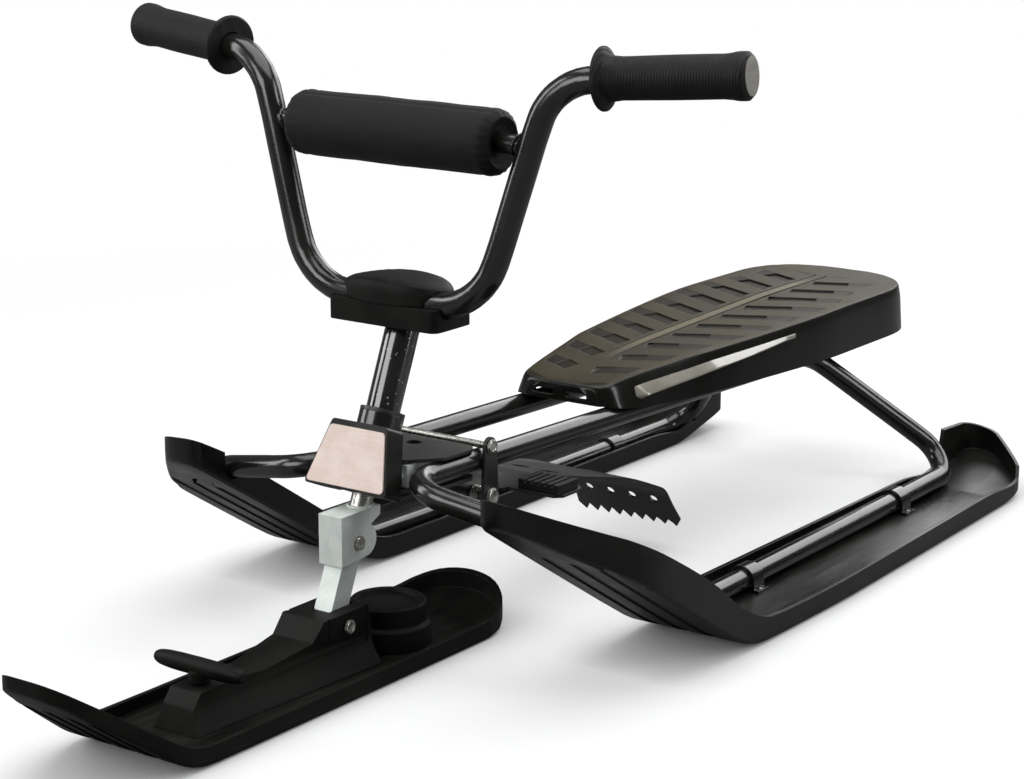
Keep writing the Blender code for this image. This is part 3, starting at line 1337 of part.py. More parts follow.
def brake_outline(length):
    """Return the flat brake plate's outline with its foot wings and its row of teeth."""
    half = BRAKE_HALF_WIDTH
    neck = SLEEVE_HALF_LENGTH - 0.002
    left = [(-neck, 0.0), (-neck, 0.012), (-half, 0.018), (-half, WING_FRONT - 0.002),
            (-WING_HALF_WIDTH + 0.006, WING_FRONT), (-WING_HALF_WIDTH, WING_FRONT + 0.006),
            (-WING_HALF_WIDTH, WING_REAR - 0.010), (-WING_HALF_WIDTH + 0.010, WING_REAR),
            (-half - 0.006, WING_REAR), (-half, WING_REAR + 0.008), (-half, length - 0.030),
            (-half - 0.003, length - TOOTH_DEPTH)]
    teeth = []
    width = 2 * (half + 0.003)
    pitch = width / TOOTH_COUNT
    for number in range(TOOTH_COUNT):
        start = -width / 2 + number * pitch
        teeth.append((start + pitch * 0.5, length))
        teeth.append((start + pitch, length - TOOTH_DEPTH))
    right = [(-x, y) for x, y in reversed(left[:-1])]
    return left + teeth + right


def make_brake_plate():
    """The folded brake plate: rolled sleeve, foot wings, lightening holes and teeth."""
    path = brake_path()
    length = sum((second - first).length for first, second in zip(path, path[1:]))
    holes = [(x, length - 0.034, 0.0045) for x in (-0.036, -0.012, 0.012, 0.036)]
    holes += [(x, 0.120, 0.009) for x in (-0.030, 0.0, 0.030)]
    plate = flat_solid("brake_plate", [brake_outline(length)], BRAKE_THICKNESS)
    plate = cut(plate, *[rod("hole", radius, (x, y, -0.01), (x, y, 0.01), 14) for x, y, radius in holes])
    plate.data.transform(Matrix.Translation((0.0, 0.0, -BRAKE_THICKNESS / 2)))
    folded(plate, path)
    sleeve = ring("sleeve", AXLE_RADIUS + RUNNING_CLEARANCE, SLEEVE_RADIUS, -SLEEVE_HALF_LENGTH, SLEEVE_HALF_LENGTH)
    sleeve.rotation_euler = (0.0, math.radians(90), 0.0)
    sleeve.location = (0.0, AXLE_Y, AXLE_Z)
    return dressed(join(plate, sleeve), BLACK_PAINT)


def make_pedal(word, side):
    """A ribbed rubber tread on one wing of the brake plate."""
    inner = BRAKE_HALF_WIDTH + 0.010
    outer = WING_HALF_WIDTH - 0.002
    front = AXLE_Y + SLEEVE_RADIUS - 0.001 + WING_FRONT + 0.001
    rear = AXLE_Y + SLEEVE_RADIUS - 0.001 + WING_REAR - 0.012
    base = AXLE_Z + BRAKE_THICKNESS / 2 + CLEARANCE
    size = (outer - inner, rear - front, PEDAL_HEIGHT)
    centre = (side * (inner + outer) / 2, (front + rear) / 2, base + PEDAL_HEIGHT / 2)
    pedal = box("brake_pedal_" + word, size, centre)
    count = 5
    pitch = (outer - inner) / (count + 1)
    grooves = []
    for number in range(count):
        x = side * (inner + pitch * (number + 1))
        grooves.append(box("groove", (pitch * 0.4, size[1] + 0.01, 0.005), (x, centre[1], base + PEDAL_HEIGHT)))
    return dressed(cut(pedal, *grooves), GRIP_RUBBER)


def make_brake_spring(word, side):
    """A torsion spring round the axle: one leg hooks the hanger, the other lifts the plate."""
    start_x = SLEEVE_HALF_LENGTH + 0.0025
    steps_per_turn = 9
    count = int(SPRING_TURNS * steps_per_turn)
    coil = []
    for number in range(count + 1):
        angle = -math.pi / 2 + 2 * math.pi * number / steps_per_turn
        x = start_x + SPRING_PITCH * number / steps_per_turn
        coil.append(Vector((side * x, AXLE_Y + SPRING_RADIUS * math.cos(angle), AXLE_Z + SPRING_RADIUS * math.sin(angle))))
    lift_z = AXLE_Z - BRAKE_THICKNESS / 2 - CLEARANCE - SPRING_WIRE_RADIUS
    stop_x = side * (HANGER_X - CLEARANCE - SPRING_WIRE_RADIUS)
    rest_leg = [Vector((side * start_x, AXLE_Y + SPRING_LEG, lift_z)),
                Vector((side * start_x, AXLE_Y + SPRING_LEG - 0.008, lift_z)),
                Vector((side * start_x, AXLE_Y + SPRING_RADIUS, AXLE_Z - SPRING_RADIUS))]
    stop_leg = [Vector((coil[-1].x, AXLE_Y - 0.004, AXLE_Z + SPRING_RADIUS)),
                Vector((stop_x, AXLE_Y - 0.007, AXLE_Z + SPRING_RADIUS))]
    points = rest_leg + coil + stop_leg
    nearest = min((first - second).length for first, second in zip(coil, coil[steps_per_turn:]))
    gap = nearest - 2 * SPRING_WIRE_RADIUS
    print(f"brake_spring_{word}: least gap between turns {gap * 1000:.2f} mm")
    return dressed(tube("brake_spring_" + word, points, SPRING_WIRE_RADIUS, resolution=1), STEEL)


def make_root():
    """Build everything that stays with the frame."""
    make_frame_tubes()
    make_head_tube()
    make_head_bush("upper", HEAD_TUBE_TOP, 1)
    make_head_bush("lower", HEAD_TUBE_BOTTOM, -1)
    offset = (TUBE_RADIUS + CLEARANCE) / math.cos(RAIL_DROP)
    make_gusset("upper", offset, GUSSET_FRONT_Y)
    make_gusset("lower", -offset - GUSSET_THICKNESS, GUSSET_FRONT_Y - 0.006)
    make_head_shield()
    make_head_plate()
    for word, side in SIDES.items():
        make_head_lug(word, side)
        make_rear_ski(word, side)
        make_hanger(word, side)
        make_brake_spring(word, side)
        for place, y in SADDLE_PLACES.items():
            make_saddle(word, place, side, y)
    make_seat()
    for place, y in (("front", BRACKET_FRONT_Y), ("rear", BRACKET_REAR_Y)):
        make_seat_bracket(place, y)
        for word, side in SIDES.items():
            make_seat_screw(f"seat_screw_{place}_{word}", side * BOSS_X, y)
    reach = HANGER_X + HANGER_THICKNESS + CLEARANCE
    dressed(bolt_x("brake_axle", AXLE_RADIUS, AXLE_Y, AXLE_Z, reach, 0.0075, 0.003), STEEL)
    dressed(nut_x("axle_nut", AXLE_RADIUS, AXLE_Y, AXLE_Z, reach, 0.0075), STEEL)
    z = hanger_bolt_z()
    dressed(bolt_x("hanger_bolt", HANGER_BOLT_RADIUS, AXLE_Y, z, reach, 0.006, 0.0028), STEEL)


def make_steering():
    """Build everything that turns with the handlebar, about the raked axis."""
    pieces = [make_spindle(), make_column(), make_collar(), make_handlebar(), make_crossbar(),
              make_crossbar_pad(), make_clamp_base(), make_clamp_cover(), make_fork_bracket(),
              make_fork_leg()]
    for word, (x, y) in bolt_places().items():
        pieces.append(make_clamp_bolt(word, x, y))
    for word, side in SIDES.items():
        pieces.append(make_grip(word, side))
    reach = FORK_HALF_WIDTH + CLEARANCE
    bolt = bolt_x("fork_bolt", FORK_BOLT_RADIUS, FORK_BOLT_Y, FORK_BOLT_Z, reach, 0.0062, 0.0025)
    nut = nut_x("fork_nut", FORK_BOLT_RADIUS, FORK_BOLT_Y, FORK_BOLT_Z, reach, 0.0062)
    pieces.append(dressed(bolt, STEEL))
    pieces.append(dressed(nut, STEEL))
    hang(pieces, pivot_empty("steering_axis", (0.0, HEAD_Y, HEAD_Z), RAKE))


def make_front_ski_group():
    """Build the front ski with all that it carries, about its pitch pivot."""
    reach = MAST_HALF_WIDTH + CLEARANCE
    bolt = bolt_x("ski_pivot_bolt", PIVOT_BOLT_RADIUS, PIVOT_Y, PIVOT_Z, reach, 0.0062, 0.0025)
    nut = nut_x("ski_pivot_nut", PIVOT_BOLT_RADIUS, PIVOT_Y, PIVOT_Z, reach, 0.0062)
    pieces = [make_front_ski(), make_front_mast(), make_reel_housing(), dressed(bolt, STEEL), dressed(nut, STEEL)]
    hang(pieces, pivot_empty("ski_pitch_axis", (0.0, PIVOT_Y, PIVOT_Z)))
    hang([make_reel_drum()], pivot_empty("reel_axis", (0.0, REEL_Y, 0.0)))
    hang([make_tow_handle()], pivot_empty("tow_handle_line", (0.0, HANDLE_Y, HANDLE_Z)))


def make_brake():
    """Build the brake with its treads, about its axle."""
    pieces = [make_brake_plate()]
    for word, side in SIDES.items():
        pieces.append(make_pedal(word, side))
    hang(pieces, pivot_empty("brake_axis", (0.0, AXLE_Y, AXLE_Z)))


def main():
    clear_scene()
    new_collection(COLLECTION_NAME)
    make_root()
    make_steering()
    make_front_ski_group()
    make_brake()


if __name__ == "__main__":
    main()
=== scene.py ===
"""Looks of the steering sled: finishes, fine parts, floor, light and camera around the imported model."""

import json
import logging
import math
from dataclasses import dataclass
from enum import Enum
from typing import Callable, ClassVar, Sequence

import bmesh
import bpy
from mathutils import Matrix, Vector, noise
from mathutils.bvhtree import BVHTree


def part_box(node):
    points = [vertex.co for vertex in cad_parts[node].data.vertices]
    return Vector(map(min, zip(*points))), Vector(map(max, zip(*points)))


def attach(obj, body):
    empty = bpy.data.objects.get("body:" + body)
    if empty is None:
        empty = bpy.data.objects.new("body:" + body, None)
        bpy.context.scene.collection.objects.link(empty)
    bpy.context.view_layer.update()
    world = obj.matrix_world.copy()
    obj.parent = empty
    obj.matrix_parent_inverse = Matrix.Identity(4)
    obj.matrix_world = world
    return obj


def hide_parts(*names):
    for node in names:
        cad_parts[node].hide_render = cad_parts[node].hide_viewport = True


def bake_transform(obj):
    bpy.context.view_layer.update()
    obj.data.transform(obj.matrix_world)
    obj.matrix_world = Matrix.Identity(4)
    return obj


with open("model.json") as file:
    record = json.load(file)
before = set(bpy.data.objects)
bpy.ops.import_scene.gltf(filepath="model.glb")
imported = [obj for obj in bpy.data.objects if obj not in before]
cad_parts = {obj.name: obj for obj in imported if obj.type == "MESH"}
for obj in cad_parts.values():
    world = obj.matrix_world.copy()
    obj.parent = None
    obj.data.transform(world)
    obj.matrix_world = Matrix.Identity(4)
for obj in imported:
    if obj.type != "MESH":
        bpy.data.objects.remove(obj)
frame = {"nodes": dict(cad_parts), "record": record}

LOG = logging.getLogger("sled")
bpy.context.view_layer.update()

Socket = bpy.types.NodeSocket
MM = 0.001
SPOT = 0.00001  # the radius of a turned section's end, too small to see
MIDDLE = (0.35, 0.65)  # the range that holds most of a noise's values
WHOLE = (0.0, 1.0)  # a mask's range
RAKE = math.radians(23)  # how far the steering axis leans back
HEAD_AXIS_POINT = Vector((0.0, -0.2026, 0.168))
SIDES = (("left", 1), ("right", -1))


class Body(str, Enum):
    """The CAD bodies that pieces ride on."""

    FRAME = "frame"
    STEERING = "steering"
    FRONT_SKI = "front_ski"
    BRAKE = "brake"


class Slot(str, Enum):
    """The record's material slots."""

    PAINT = "black_paint"
    PLASTIC = "black_plastic"
    SEAT = "seat_plastic"
    RUBBER = "grip_rubber"
    FOAM = "pad_foam"
    ZINC = "zinc_plate"
    STEEL = "bright_steel"
    PLATE = "plate_beige"
    NYLON = "bush_nylon"


class Form(Enum):
    """The outlines that a bolt's sections have."""

    ROUND = 0
    HEXAGON = 1
    CHAMFER = 2


def linear(colour: str) -> tuple[float, float, float, float]:
    """Turn an sRGB hex colour into linear RGBA.

    Args:
        colour: six hex digits after a hash.

    Returns:
        The linear colour with alpha 1.
    """
    channels = [int(colour[start:start + 2], 16) / 255 for start in (1, 3, 5)]
    curved = [c / 12.92 if c <= 0.04045 else ((c + 0.055) / 1.055) ** 2.4 for c in channels]
    return (curved[0], curved[1], curved[2], 1.0)


def wave_scale(pitch: float) -> float:
    """Return the wave texture's scale at which its bands stand a pitch in metres apart."""
    return 2 * math.pi / (20 * pitch)


class Graph:
    """A node tree of any kind, in which one method adds every node."""

    def __init__(self, tree: bpy.types.NodeTree) -> None:
        """Take up a tree."""
        self.tree = tree

    def fill(self, node: bpy.types.Node, inputs: dict[str | int, object]) -> None:
        """Link or set a node's inputs.

        Args:
            node: the node.
            inputs: a socket to link or a plain value for each input, by name or number.
        """
        for key, value in inputs.items():
            if isinstance(value, Socket):
                self.tree.links.new(value, node.inputs[key])
            elif value is not None:
                node.inputs[key].default_value = value

    def add(self, kind: str, inputs: Sequence[object] | dict[str | int, object] = (),
            output: str | int = 0, **settings: object) -> Socket | None:
        """Add a node with its settings and links.

        Args:
            kind: the node's type.
            inputs: sockets and values for its inputs, in their order or by name or number.
            output: the name or number of the output that is wanted.
            **settings: the node's own settings.

        Returns:
            The wanted output, or None for a node without outputs.
        """
        node = self.tree.nodes.new(kind)
        for key, value in settings.items():
            setattr(node, key, value)
        self.fill(node, inputs if isinstance(inputs, dict) else dict(enumerate(inputs)))
        return node.outputs[output] if node.outputs else None

    def reckon(self, known: dict[str, Socket], rows: Sequence[tuple]) -> Socket:
        """Work through a table of sums.

        Args:
            known: the sockets that rows may name. Each row's result joins them.
            rows: each sum's name, its operation and its terms, which are names or numbers. The
                operation MAP takes a term, the range that it comes from and the one that it goes to.

        Returns:
            The last row's result.
        """
        for name, operation, *terms in rows:
            inputs = [known.get(term, term) for term in terms]
            if operation == "MAP":
                known[name] = self.add("ShaderNodeMapRange", inputs)
            else:
                known[name] = self.add("ShaderNodeMath", inputs, operation=operation)
        return known[name]


class Surface(Graph):
    """A material's nodes, with patterns that lie on the object's own coordinates in metres."""

    def __init__(self, name: str) -> None:
        """Start a material.

        Args:
            name: its name.
        """
        self.material = bpy.data.materials.new(name)
        self.material.use_nodes = True
        super().__init__(self.material.node_tree)
        self.shader = self.tree.nodes["Principled BSDF"]
        self.place = self.add("ShaderNodeTexCoord", output="Object")

    def grain(self, size: float, detail: float = 3.0, stretch: Sequence[float] = (1, 1, 1)) -> Socket:
        """Lay an uneven pattern over the object.

        Args:
            size: about how large its features are, in metres.
            detail: how many finer layers it has.
            stretch: how much shorter its features are along each axis.

        Returns:
            The pattern's height, mostly within MIDDLE.
        """
        laid = self.add("ShaderNodeMapping", {"Vector": self.place, "Scale": tuple(stretch)})
        look = {"Vector": laid, "Scale": 1 / size, "Detail": detail, "Roughness": 0.55}
        return self.add("ShaderNodeTexNoise", look, "Fac")

    def edges(self, width: float) -> tuple[Socket, Socket]:
        """Find the edges of a piece.

        Args:
            width: how far from an edge its rounding reaches, in metres.

        Returns:
            The rounded normal, and a mask that is 1 on edges.
        """
        rounded = self.add("ShaderNodeBevel", {"Radius": width}, "Normal", samples=4)
        plain = self.add("ShaderNodeNewGeometry", output="Normal")
        turn = self.add("ShaderNodeVectorMath", (rounded, plain), "Value", operation="DOT_PRODUCT")
        return rounded, self.add("ShaderNodeMapRange", (turn, 0.80, 0.985, 1.0, 0.0))

    def tint(self, base: Socket | Sequence[float], colour: str, pattern: Socket, most: float = 1.0,
             span: tuple[float, float] = MIDDLE, least: float = 0.0,
             where: Socket | None = None) -> Socket:
        """Lay a colour over a base, as thick as a pattern is strong.

        Args:
            base: what lies under it.
            colour: the colour's hex digits.
            pattern: the pattern.
            most: how much of the colour there is where the pattern reaches the span's end.
            span: the range of the pattern's values over which the colour thickens.
            least: how much there is where the pattern is under the span's start.
            where: a mask that the colour keeps to.

        Returns:
            The tinted base.
        """
        share = self.add("ShaderNodeMapRange", (pattern, *span, least, most))
        if where is not None:
            share = self.add("ShaderNodeMath", (where, share), operation="MULTIPLY")
        return self.add("ShaderNodeMix", {0: share, 6: base, 7: linear(colour)}, 2, data_type="RGBA")

    def relief(self, normal: Socket | None, *layers: tuple[Socket, float, float]) -> Socket:
        """Roughen a normal by height patterns.

        Args:
            normal: the normal, or None for the piece's own.
            *layers: each pattern, its depth in metres and its strength.

        Returns:
            The roughened normal.
        """
        for height, depth, strength in layers:
            inputs = {"Height": height, "Distance": depth, "Strength": strength, "Normal": normal}
            normal = self.add("ShaderNodeBump", inputs)
        return normal

    def finish(self, **sockets: object) -> bpy.types.Material:
        """Set or link the shader's inputs, named with underscores for spaces."""
        self.fill(self.shader, {key.replace("_", " "): value for key, value in sockets.items()})
        return self.material


@dataclass(frozen=True)
class Finish:
    """One real material with its colour and its gloss."""

    name: str
    slot: Slot
    colour: str
    roughness: float

    def build(self) -> bpy.types.Material:
        """Return the finish's material."""
        raise NotImplementedError

    def uneven(self, surface: Surface, pattern: Socket, less: float, more: float) -> Socket:
        """Vary the roughness by a pattern.

        Args:
            surface: the material's nodes.
            pattern: the pattern.
            less: what its low places add to the roughness.
            more: what its high places add.

        Returns:
            The roughness.
        """
        ends = (self.roughness + less, self.roughness + more)
        return surface.add("ShaderNodeMapRange", (pattern, *MIDDLE, *ends))


@dataclass(frozen=True)
class PowderCoat(Finish):
    """Black powder coat on steel: orange peel breaks up the long highlights, edges wear paler."""

    peel: float = 2.6 * MM
    # How many pale specks are painted on as glints.
    glint_specks: float = 0.0
    coat: float = 0.15
    cloud: str = "#1b1b19"
    worn: str = "#33322f"
    glint_speck_colour: str = "#b9b8b2"

    def build(self) -> bpy.types.Material:
        """Cloud the coat, wear its edges and, where asked, paint small pale specks of glint on it.

        Returns:
            The material.
        """
        surface = Surface(self.name)
        rounded, edge = surface.edges(0.8 * MM)
        patches = surface.grain(45 * MM, 4)
        base = surface.tint(linear(self.colour), self.cloud, patches)
        base = surface.tint(base, self.worn, surface.grain(7 * MM, 4), 0.8, (0.45, 0.62), where=edge)
        # Pale specks: painted glints.
        if self.glint_specks:
            dots = surface.add("ShaderNodeTexVoronoi",
                               {"Vector": surface.place, "Scale": 1 / (6 * MM)}, "Distance")
            base = surface.tint(base, self.glint_speck_colour, dots, 0.0, (0.09, 0.13), self.glint_specks)
        peel = surface.relief(rounded, (surface.grain(self.peel, 2), 0.035 * MM, 1.0))
        return surface.finish(Base_Color=base, Roughness=self.uneven(surface, patches, -0.04, 0.06),
                              Normal=peel, IOR=1.52, Coat_Weight=self.coat, Coat_Roughness=0.06)


@dataclass(frozen=True)
class MouldedPlastic(Finish):
    """Injection-moulded polyethylene: spark-eroded grain, flow marks and paler rubbed edges."""

    grain: float = 0.55 * MM
    rubbed: str = "#3a3935"
    gloss: float = 0.24
    flow_mark: str = "#181816"
    scuff: str = "#4a4945"
    sink: float = 0.25 * MM

    def build(self) -> bpy.types.Material:
        """Rub the plastic at its edges and scuff it lengthwise near the snow.

        Returns:
            The material.
        """
        surface = Surface(self.name)
        rounded, edge = surface.edges(1.2 * MM)
        flow = surface.grain(30 * MM, 5, (1.0, 0.25, 1.0))
        base = surface.tint(linear(self.colour), self.flow_mark, flow)
        rubs = surface.grain(5 * MM, 5)
        base = surface.tint(base, self.rubbed, rubs, 0.75, (0.40, 0.65), 0.05, edge)
        height = surface.add("ShaderNodeSeparateXYZ", (surface.place,), "Z")
        near_snow = surface.add("ShaderNodeMapRange", (height, 2 * MM, 12 * MM, 1.0, 0.0))
        scuffs = surface.grain(3 * MM, 6, (1.0, 0.06, 1.0))
        base = surface.tint(base, self.scuff, scuffs, 0.30, (0.52, 0.70), where=near_snow)
        normal = surface.relief(rounded, (surface.grain(self.grain, 2), 0.030 * MM, 1.0),
                                (surface.grain(22 * MM, 2), self.sink, 0.5))
        return surface.finish(Base_Color=base, Roughness=self.uneven(surface, flow, -0.05, 0.09),
                              Normal=normal, IOR=1.54, Specular_IOR_Level=self.gloss)


@dataclass(frozen=True)
class SeatPlastic(Finish):
    """Moulded seat: leather-grained deck that scatters light, troughs darkened by painted shade, a
    painted highlight on the spine, mirroring sides darkened by painted shade.
    """

    # Side colour: painted shade on the walls, chosen by facing.
    side_shade_colour: str = "#0f0f0d"
    # Trough colour: painted shade in the sunk chevrons.
    trough_shade_colour: str = "#17140f"
    cloud: str = "#3c3627"
    dust: str = "#544c37"
    # Spine colour: a painted highlight on the raised ridge.
    spine_highlight_colour: str = "#67604f"
    worn: str = "#4e4b42"
    first_rib_y: float = 0.106
    rib_pitch: float = 0.0445
    rib_angle: float = math.radians(24)
    trough_share: float = 0.21
    trough_start: float = 0.013
    reach_share: float = 1.38
    last_trough_y: float = 0.545

    def spine(self, surface: Surface) -> Socket:
        """Find the raised spine between the troughs, which gets a painted highlight.

        Args:
            surface: the material's nodes.

        Returns:
            A mask that is 1 on the spine.
        """
        split = surface.add("ShaderNodeSeparateXYZ", (surface.place,)).node.outputs
        return surface.reckon({"x": split["X"], "y": split["Y"]}, (
            ("out", "ABSOLUTE", "x"),
            ("near", "MAP", "out", 0.0055, 0.0085, 1.0, 0.0),
            ("front", "MAP", "y", 0.13, 0.20, 0.0, 1.0),
            ("rear", "MAP", "y", 0.48, 0.53, 1.0, 0.0),
            ("ends", "MULTIPLY", "front", "rear"),
            ("spine", "MULTIPLY", "near", "ends")))

    def troughs(self, surface: Surface) -> Socket:
        """Find the chevron troughs sunk into the deck.

        Args:
            surface: the material's nodes.

        Returns:
            A mask that is 1 in the troughs.
        """
        split = surface.add("ShaderNodeSeparateXYZ", (surface.place,)).node.outputs
        start, share = self.trough_start, self.trough_share
        return surface.reckon({"x": split["X"], "y": split["Y"]}, (
            ("out", "ABSOLUTE", "x"),
            # How far out the deck's flat part reaches: wider to the waist, narrower at the rear.
            ("widening", "MAP", "y", 0.09, 0.28, 0.020, 0.044),
            ("waist", "MAP", "y", 0.28, 0.42, 0.0, 0.006),
            ("rear", "MAP", "y", 0.42, 0.50, 0.0, -0.014),
            ("wide", "ADD", "widening", "waist"),
            ("reach", "ADD", "wide", "rear"),
            # Where along its trough's pitch a point is, with the troughs leaning backwards.
            ("half", "MULTIPLY", "reach", 0.5),
            ("middle", "ADD", "half", start),
            ("from_middle", "SUBTRACT", "out", "middle"),
            ("lean", "MULTIPLY", "from_middle", math.tan(self.rib_angle)),
            ("past_first", "SUBTRACT", "y", self.first_rib_y),
            ("along", "SUBTRACT", "past_first", "lean"),
            ("pitches", "DIVIDE", "along", self.rib_pitch),
            ("phase", "ADD", "pitches", 0.5),
            ("part", "FRACT", "phase"),
            ("off", "SUBTRACT", "part", 0.5),
            ("away", "ABSOLUTE", "off"),
            ("stripe", "MAP", "away", share - 0.02, share + 0.02, 1.0, 0.0),
            # The ends: clear of the spine, short of the rim and none on the seat's tail.
            ("inside", "MAP", "out", start - 0.0005, start + 0.0015, 0.0, 1.0),
            ("far", "MULTIPLY", "reach", self.reach_share),
            ("past", "SUBTRACT", "out", "far"),
            ("outside", "MAP", "past", start, start + 0.002, 1.0, 0.0),
            ("before_tail", "LESS_THAN", "y", self.last_trough_y),
            ("inner", "MULTIPLY", "stripe", "inside"),
            ("outer", "MULTIPLY", "outside", "before_tail"),
            ("trough", "MULTIPLY", "inner", "outer")))

    def build(self) -> bpy.types.Material:
        """Grain the deck, sink its troughs with painted shade, paint a highlight on its spine, and darken
        the polished sides with painted shade.

        Returns:
            The material.
        """
        surface = Surface(self.name)
        rounded, edge = surface.edges(1.6 * MM)
        facing = surface.add("ShaderNodeNewGeometry", output="Normal")
        patches = surface.grain(60 * MM, 4)
        pebbles = surface.add("ShaderNodeTexVoronoi", {"Vector": surface.place, "Scale": 1 / (1.3 * MM)},
                              "Distance", feature="SMOOTH_F1")
        found = {"up": surface.add("ShaderNodeSeparateXYZ", (facing,), "Z"), "patches": patches,
                 "pebbles": pebbles, "troughs": self.troughs(surface)}
        surface.reckon(found, (
            ("deck", "MAP", "up", 0.80, 0.97, 0.0, 1.0),
            ("sunk", "MULTIPLY", "troughs", "deck"),
            ("down", "MULTIPLY", "sunk", -1.0),
            ("raised", "MULTIPLY", "pebbles", "deck"),
            ("scatter", "MULTIPLY", "deck", 0.30),
            ("even", "ADD", "scatter", self.roughness),
            ("uneven", "MAP", "patches", *MIDDLE, -0.03, 0.05),
            ("rough", "ADD", "even", "uneven"),
            ("dulled", "MULTIPLY", "deck", 0.24),
            ("gloss", "SUBTRACT", 0.34, "dulled")))
        top = surface.tint(linear(self.colour), self.cloud, patches)
        top = surface.tint(top, self.dust, surface.grain(1.2 * MM, 3), 0.22, (0.55, 0.75))
        # Painted shade in the troughs.
        top = surface.tint(top, self.trough_shade_colour, found["sunk"], 0.85, WHOLE)
        # Painted highlight on the spine.
        top = surface.tint(top, self.spine_highlight_colour, self.spine(surface), 0.8, WHOLE)
        # Faces that don't look up take the darker side colour: painted shade.
        base = surface.add("ShaderNodeMix", {0: found["deck"], 6: linear(self.side_shade_colour), 7: top}, 2,
                           data_type="RGBA")
        base = surface.tint(base, self.worn, edge, 0.30, WHOLE)
        normal = surface.relief(rounded, (found["raised"], 0.22 * MM, 1.0),
                                (found["down"], 0.6 * MM, 1.0),
                                (surface.grain(0.6 * MM, 2), 0.020 * MM, 1.0))
        return surface.finish(Base_Color=base, Roughness=found["rough"], Normal=normal, IOR=1.50,
                              Specular_IOR_Level=found["gloss"])


@dataclass(frozen=True)
class PaintedHighlightPlastic(Finish):
    """The same seat plastic on the side ledges, coloured pale as a painted highlight, so it draws one
    bright line.
    """

    # Pale colours: a painted highlight, paler still at the edges.
    cloud: str = "#86837a"
    worn: str = "#98958b"

    def build(self) -> bpy.types.Material:
        """Paint the highlight's pale colour unevenly and polish the plastic.

        Returns:
            The material.
        """
        surface = Surface(self.name)
        rounded, edge = surface.edges(0.8 * MM)
        rubbed = surface.grain(14 * MM, 4, (1.0, 0.3, 1.0))
        # The pale base and its clouds are a painted highlight.
        base = surface.tint(linear(self.colour), self.cloud, rubbed)
        base = surface.tint(base, self.worn, edge, 0.4, WHOLE)
        normal = surface.relief(rounded, (surface.grain(0.6 * MM, 2), 0.008 * MM, 1.0))
        return surface.finish(Base_Color=base, Roughness=self.uneven(surface, rubbed, -0.04, 0.10),
                              Normal=normal, IOR=1.50, Coat_Weight=1.0, Coat_Roughness=0.06)


@dataclass(frozen=True)
class GripRubber(Finish):
    """Moulded rubber: fine ribs across the hand's path, a matte bloom in patches."""

    rib_pitch: float = 2.4 * MM
    rib_depth: float = 0.30 * MM
    bloom: str = "#171615"
    worn: str = "#302f2d"

    def build(self) -> bpy.types.Material:
        """Rib the rubber and bloom it in patches.

        Returns:
            The material.
        """
        surface = Surface(self.name)
        rounded, edge = surface.edges(0.7 * MM)
        look = {"Vector": surface.place, "Scale": wave_scale(self.rib_pitch), "Distortion": 0.0}
        ribs = surface.add("ShaderNodeTexWave", look, "Fac", bands_direction="X")
        bloom = surface.grain(9 * MM, 5)
        base = surface.tint(linear(self.colour), self.bloom, bloom)
        base = surface.tint(base, self.worn, edge, 0.35, WHOLE)
        normal = surface.relief(rounded, (ribs, self.rib_depth, 1.0),
                                (surface.grain(0.5 * MM, 2), 0.04 * MM, 1.0))
        return surface.finish(Base_Color=base, Roughness=self.uneven(surface, bloom, -0.08, 0.08),
                              Normal=normal, IOR=1.50, Specular_IOR_Level=0.25)


@dataclass(frozen=True)
class FoamSleeve(Finish):
    """Woven nylon sleeve over foam: a fine weave, drawn coarse enough to show, with a soft sheen."""

    thread: float = 0.9 * MM
    wear: str = "#171716"
    thread_top: str = "#242422"

    def build(self) -> bpy.types.Material:
        """Weave the cloth of two crossing waves.

        Returns:
            The material.
        """
        surface = Surface(self.name)
        look = {"Vector": surface.place, "Scale": wave_scale(self.thread), "Distortion": 0.3}
        threads = [surface.add("ShaderNodeTexWave", look, "Fac", bands_direction=way) for way in "XZ"]
        weave = surface.add("ShaderNodeMath", threads, operation="MULTIPLY")
        wear = surface.grain(25 * MM, 5)
        base = surface.tint(linear(self.colour), self.wear, wear)
        base = surface.tint(base, self.thread_top, weave, 0.25, WHOLE)
        return surface.finish(Base_Color=base, Roughness=self.uneven(surface, wear, -0.05, 0.05),
                              Normal=surface.relief(None, (weave, 0.10 * MM, 1.0)), Sheen_Weight=0.03,
                              Sheen_Roughness=0.4, Specular_IOR_Level=0.2)


@dataclass(frozen=True)
class ZincPlate(Finish):
    """Zinc-plated pressed steel: rolled streaks, faint blue-green clouding and paler bends."""

    streak: float = 0.8 * MM
    cloud: str = "#dde6e1"
    rolled: str = "#c2cac6"
    worn: str = "#f0f2ee"

    def build(self) -> bpy.types.Material:
        """Streak the plate along its rolling.

        Returns:
            The material.
        """
        surface = Surface(self.name)
        rounded, edge = surface.edges(0.8 * MM)
        rolled = surface.grain(self.streak, 3, (1.0, 1.0, 0.08))
        base = surface.tint(linear(self.colour), self.cloud, surface.grain(12 * MM, 4))
        base = surface.tint(base, self.rolled, rolled, 0.25)
        base = surface.tint(base, self.worn, edge, 0.5, WHOLE)
        return surface.finish(Base_Color=base, Roughness=self.uneven(surface, rolled, -0.06, 0.12),
                              Normal=surface.relief(rounded, (rolled, 0.02 * MM, 1.0)), Metallic=0.15,
                              Anisotropic=0.35)


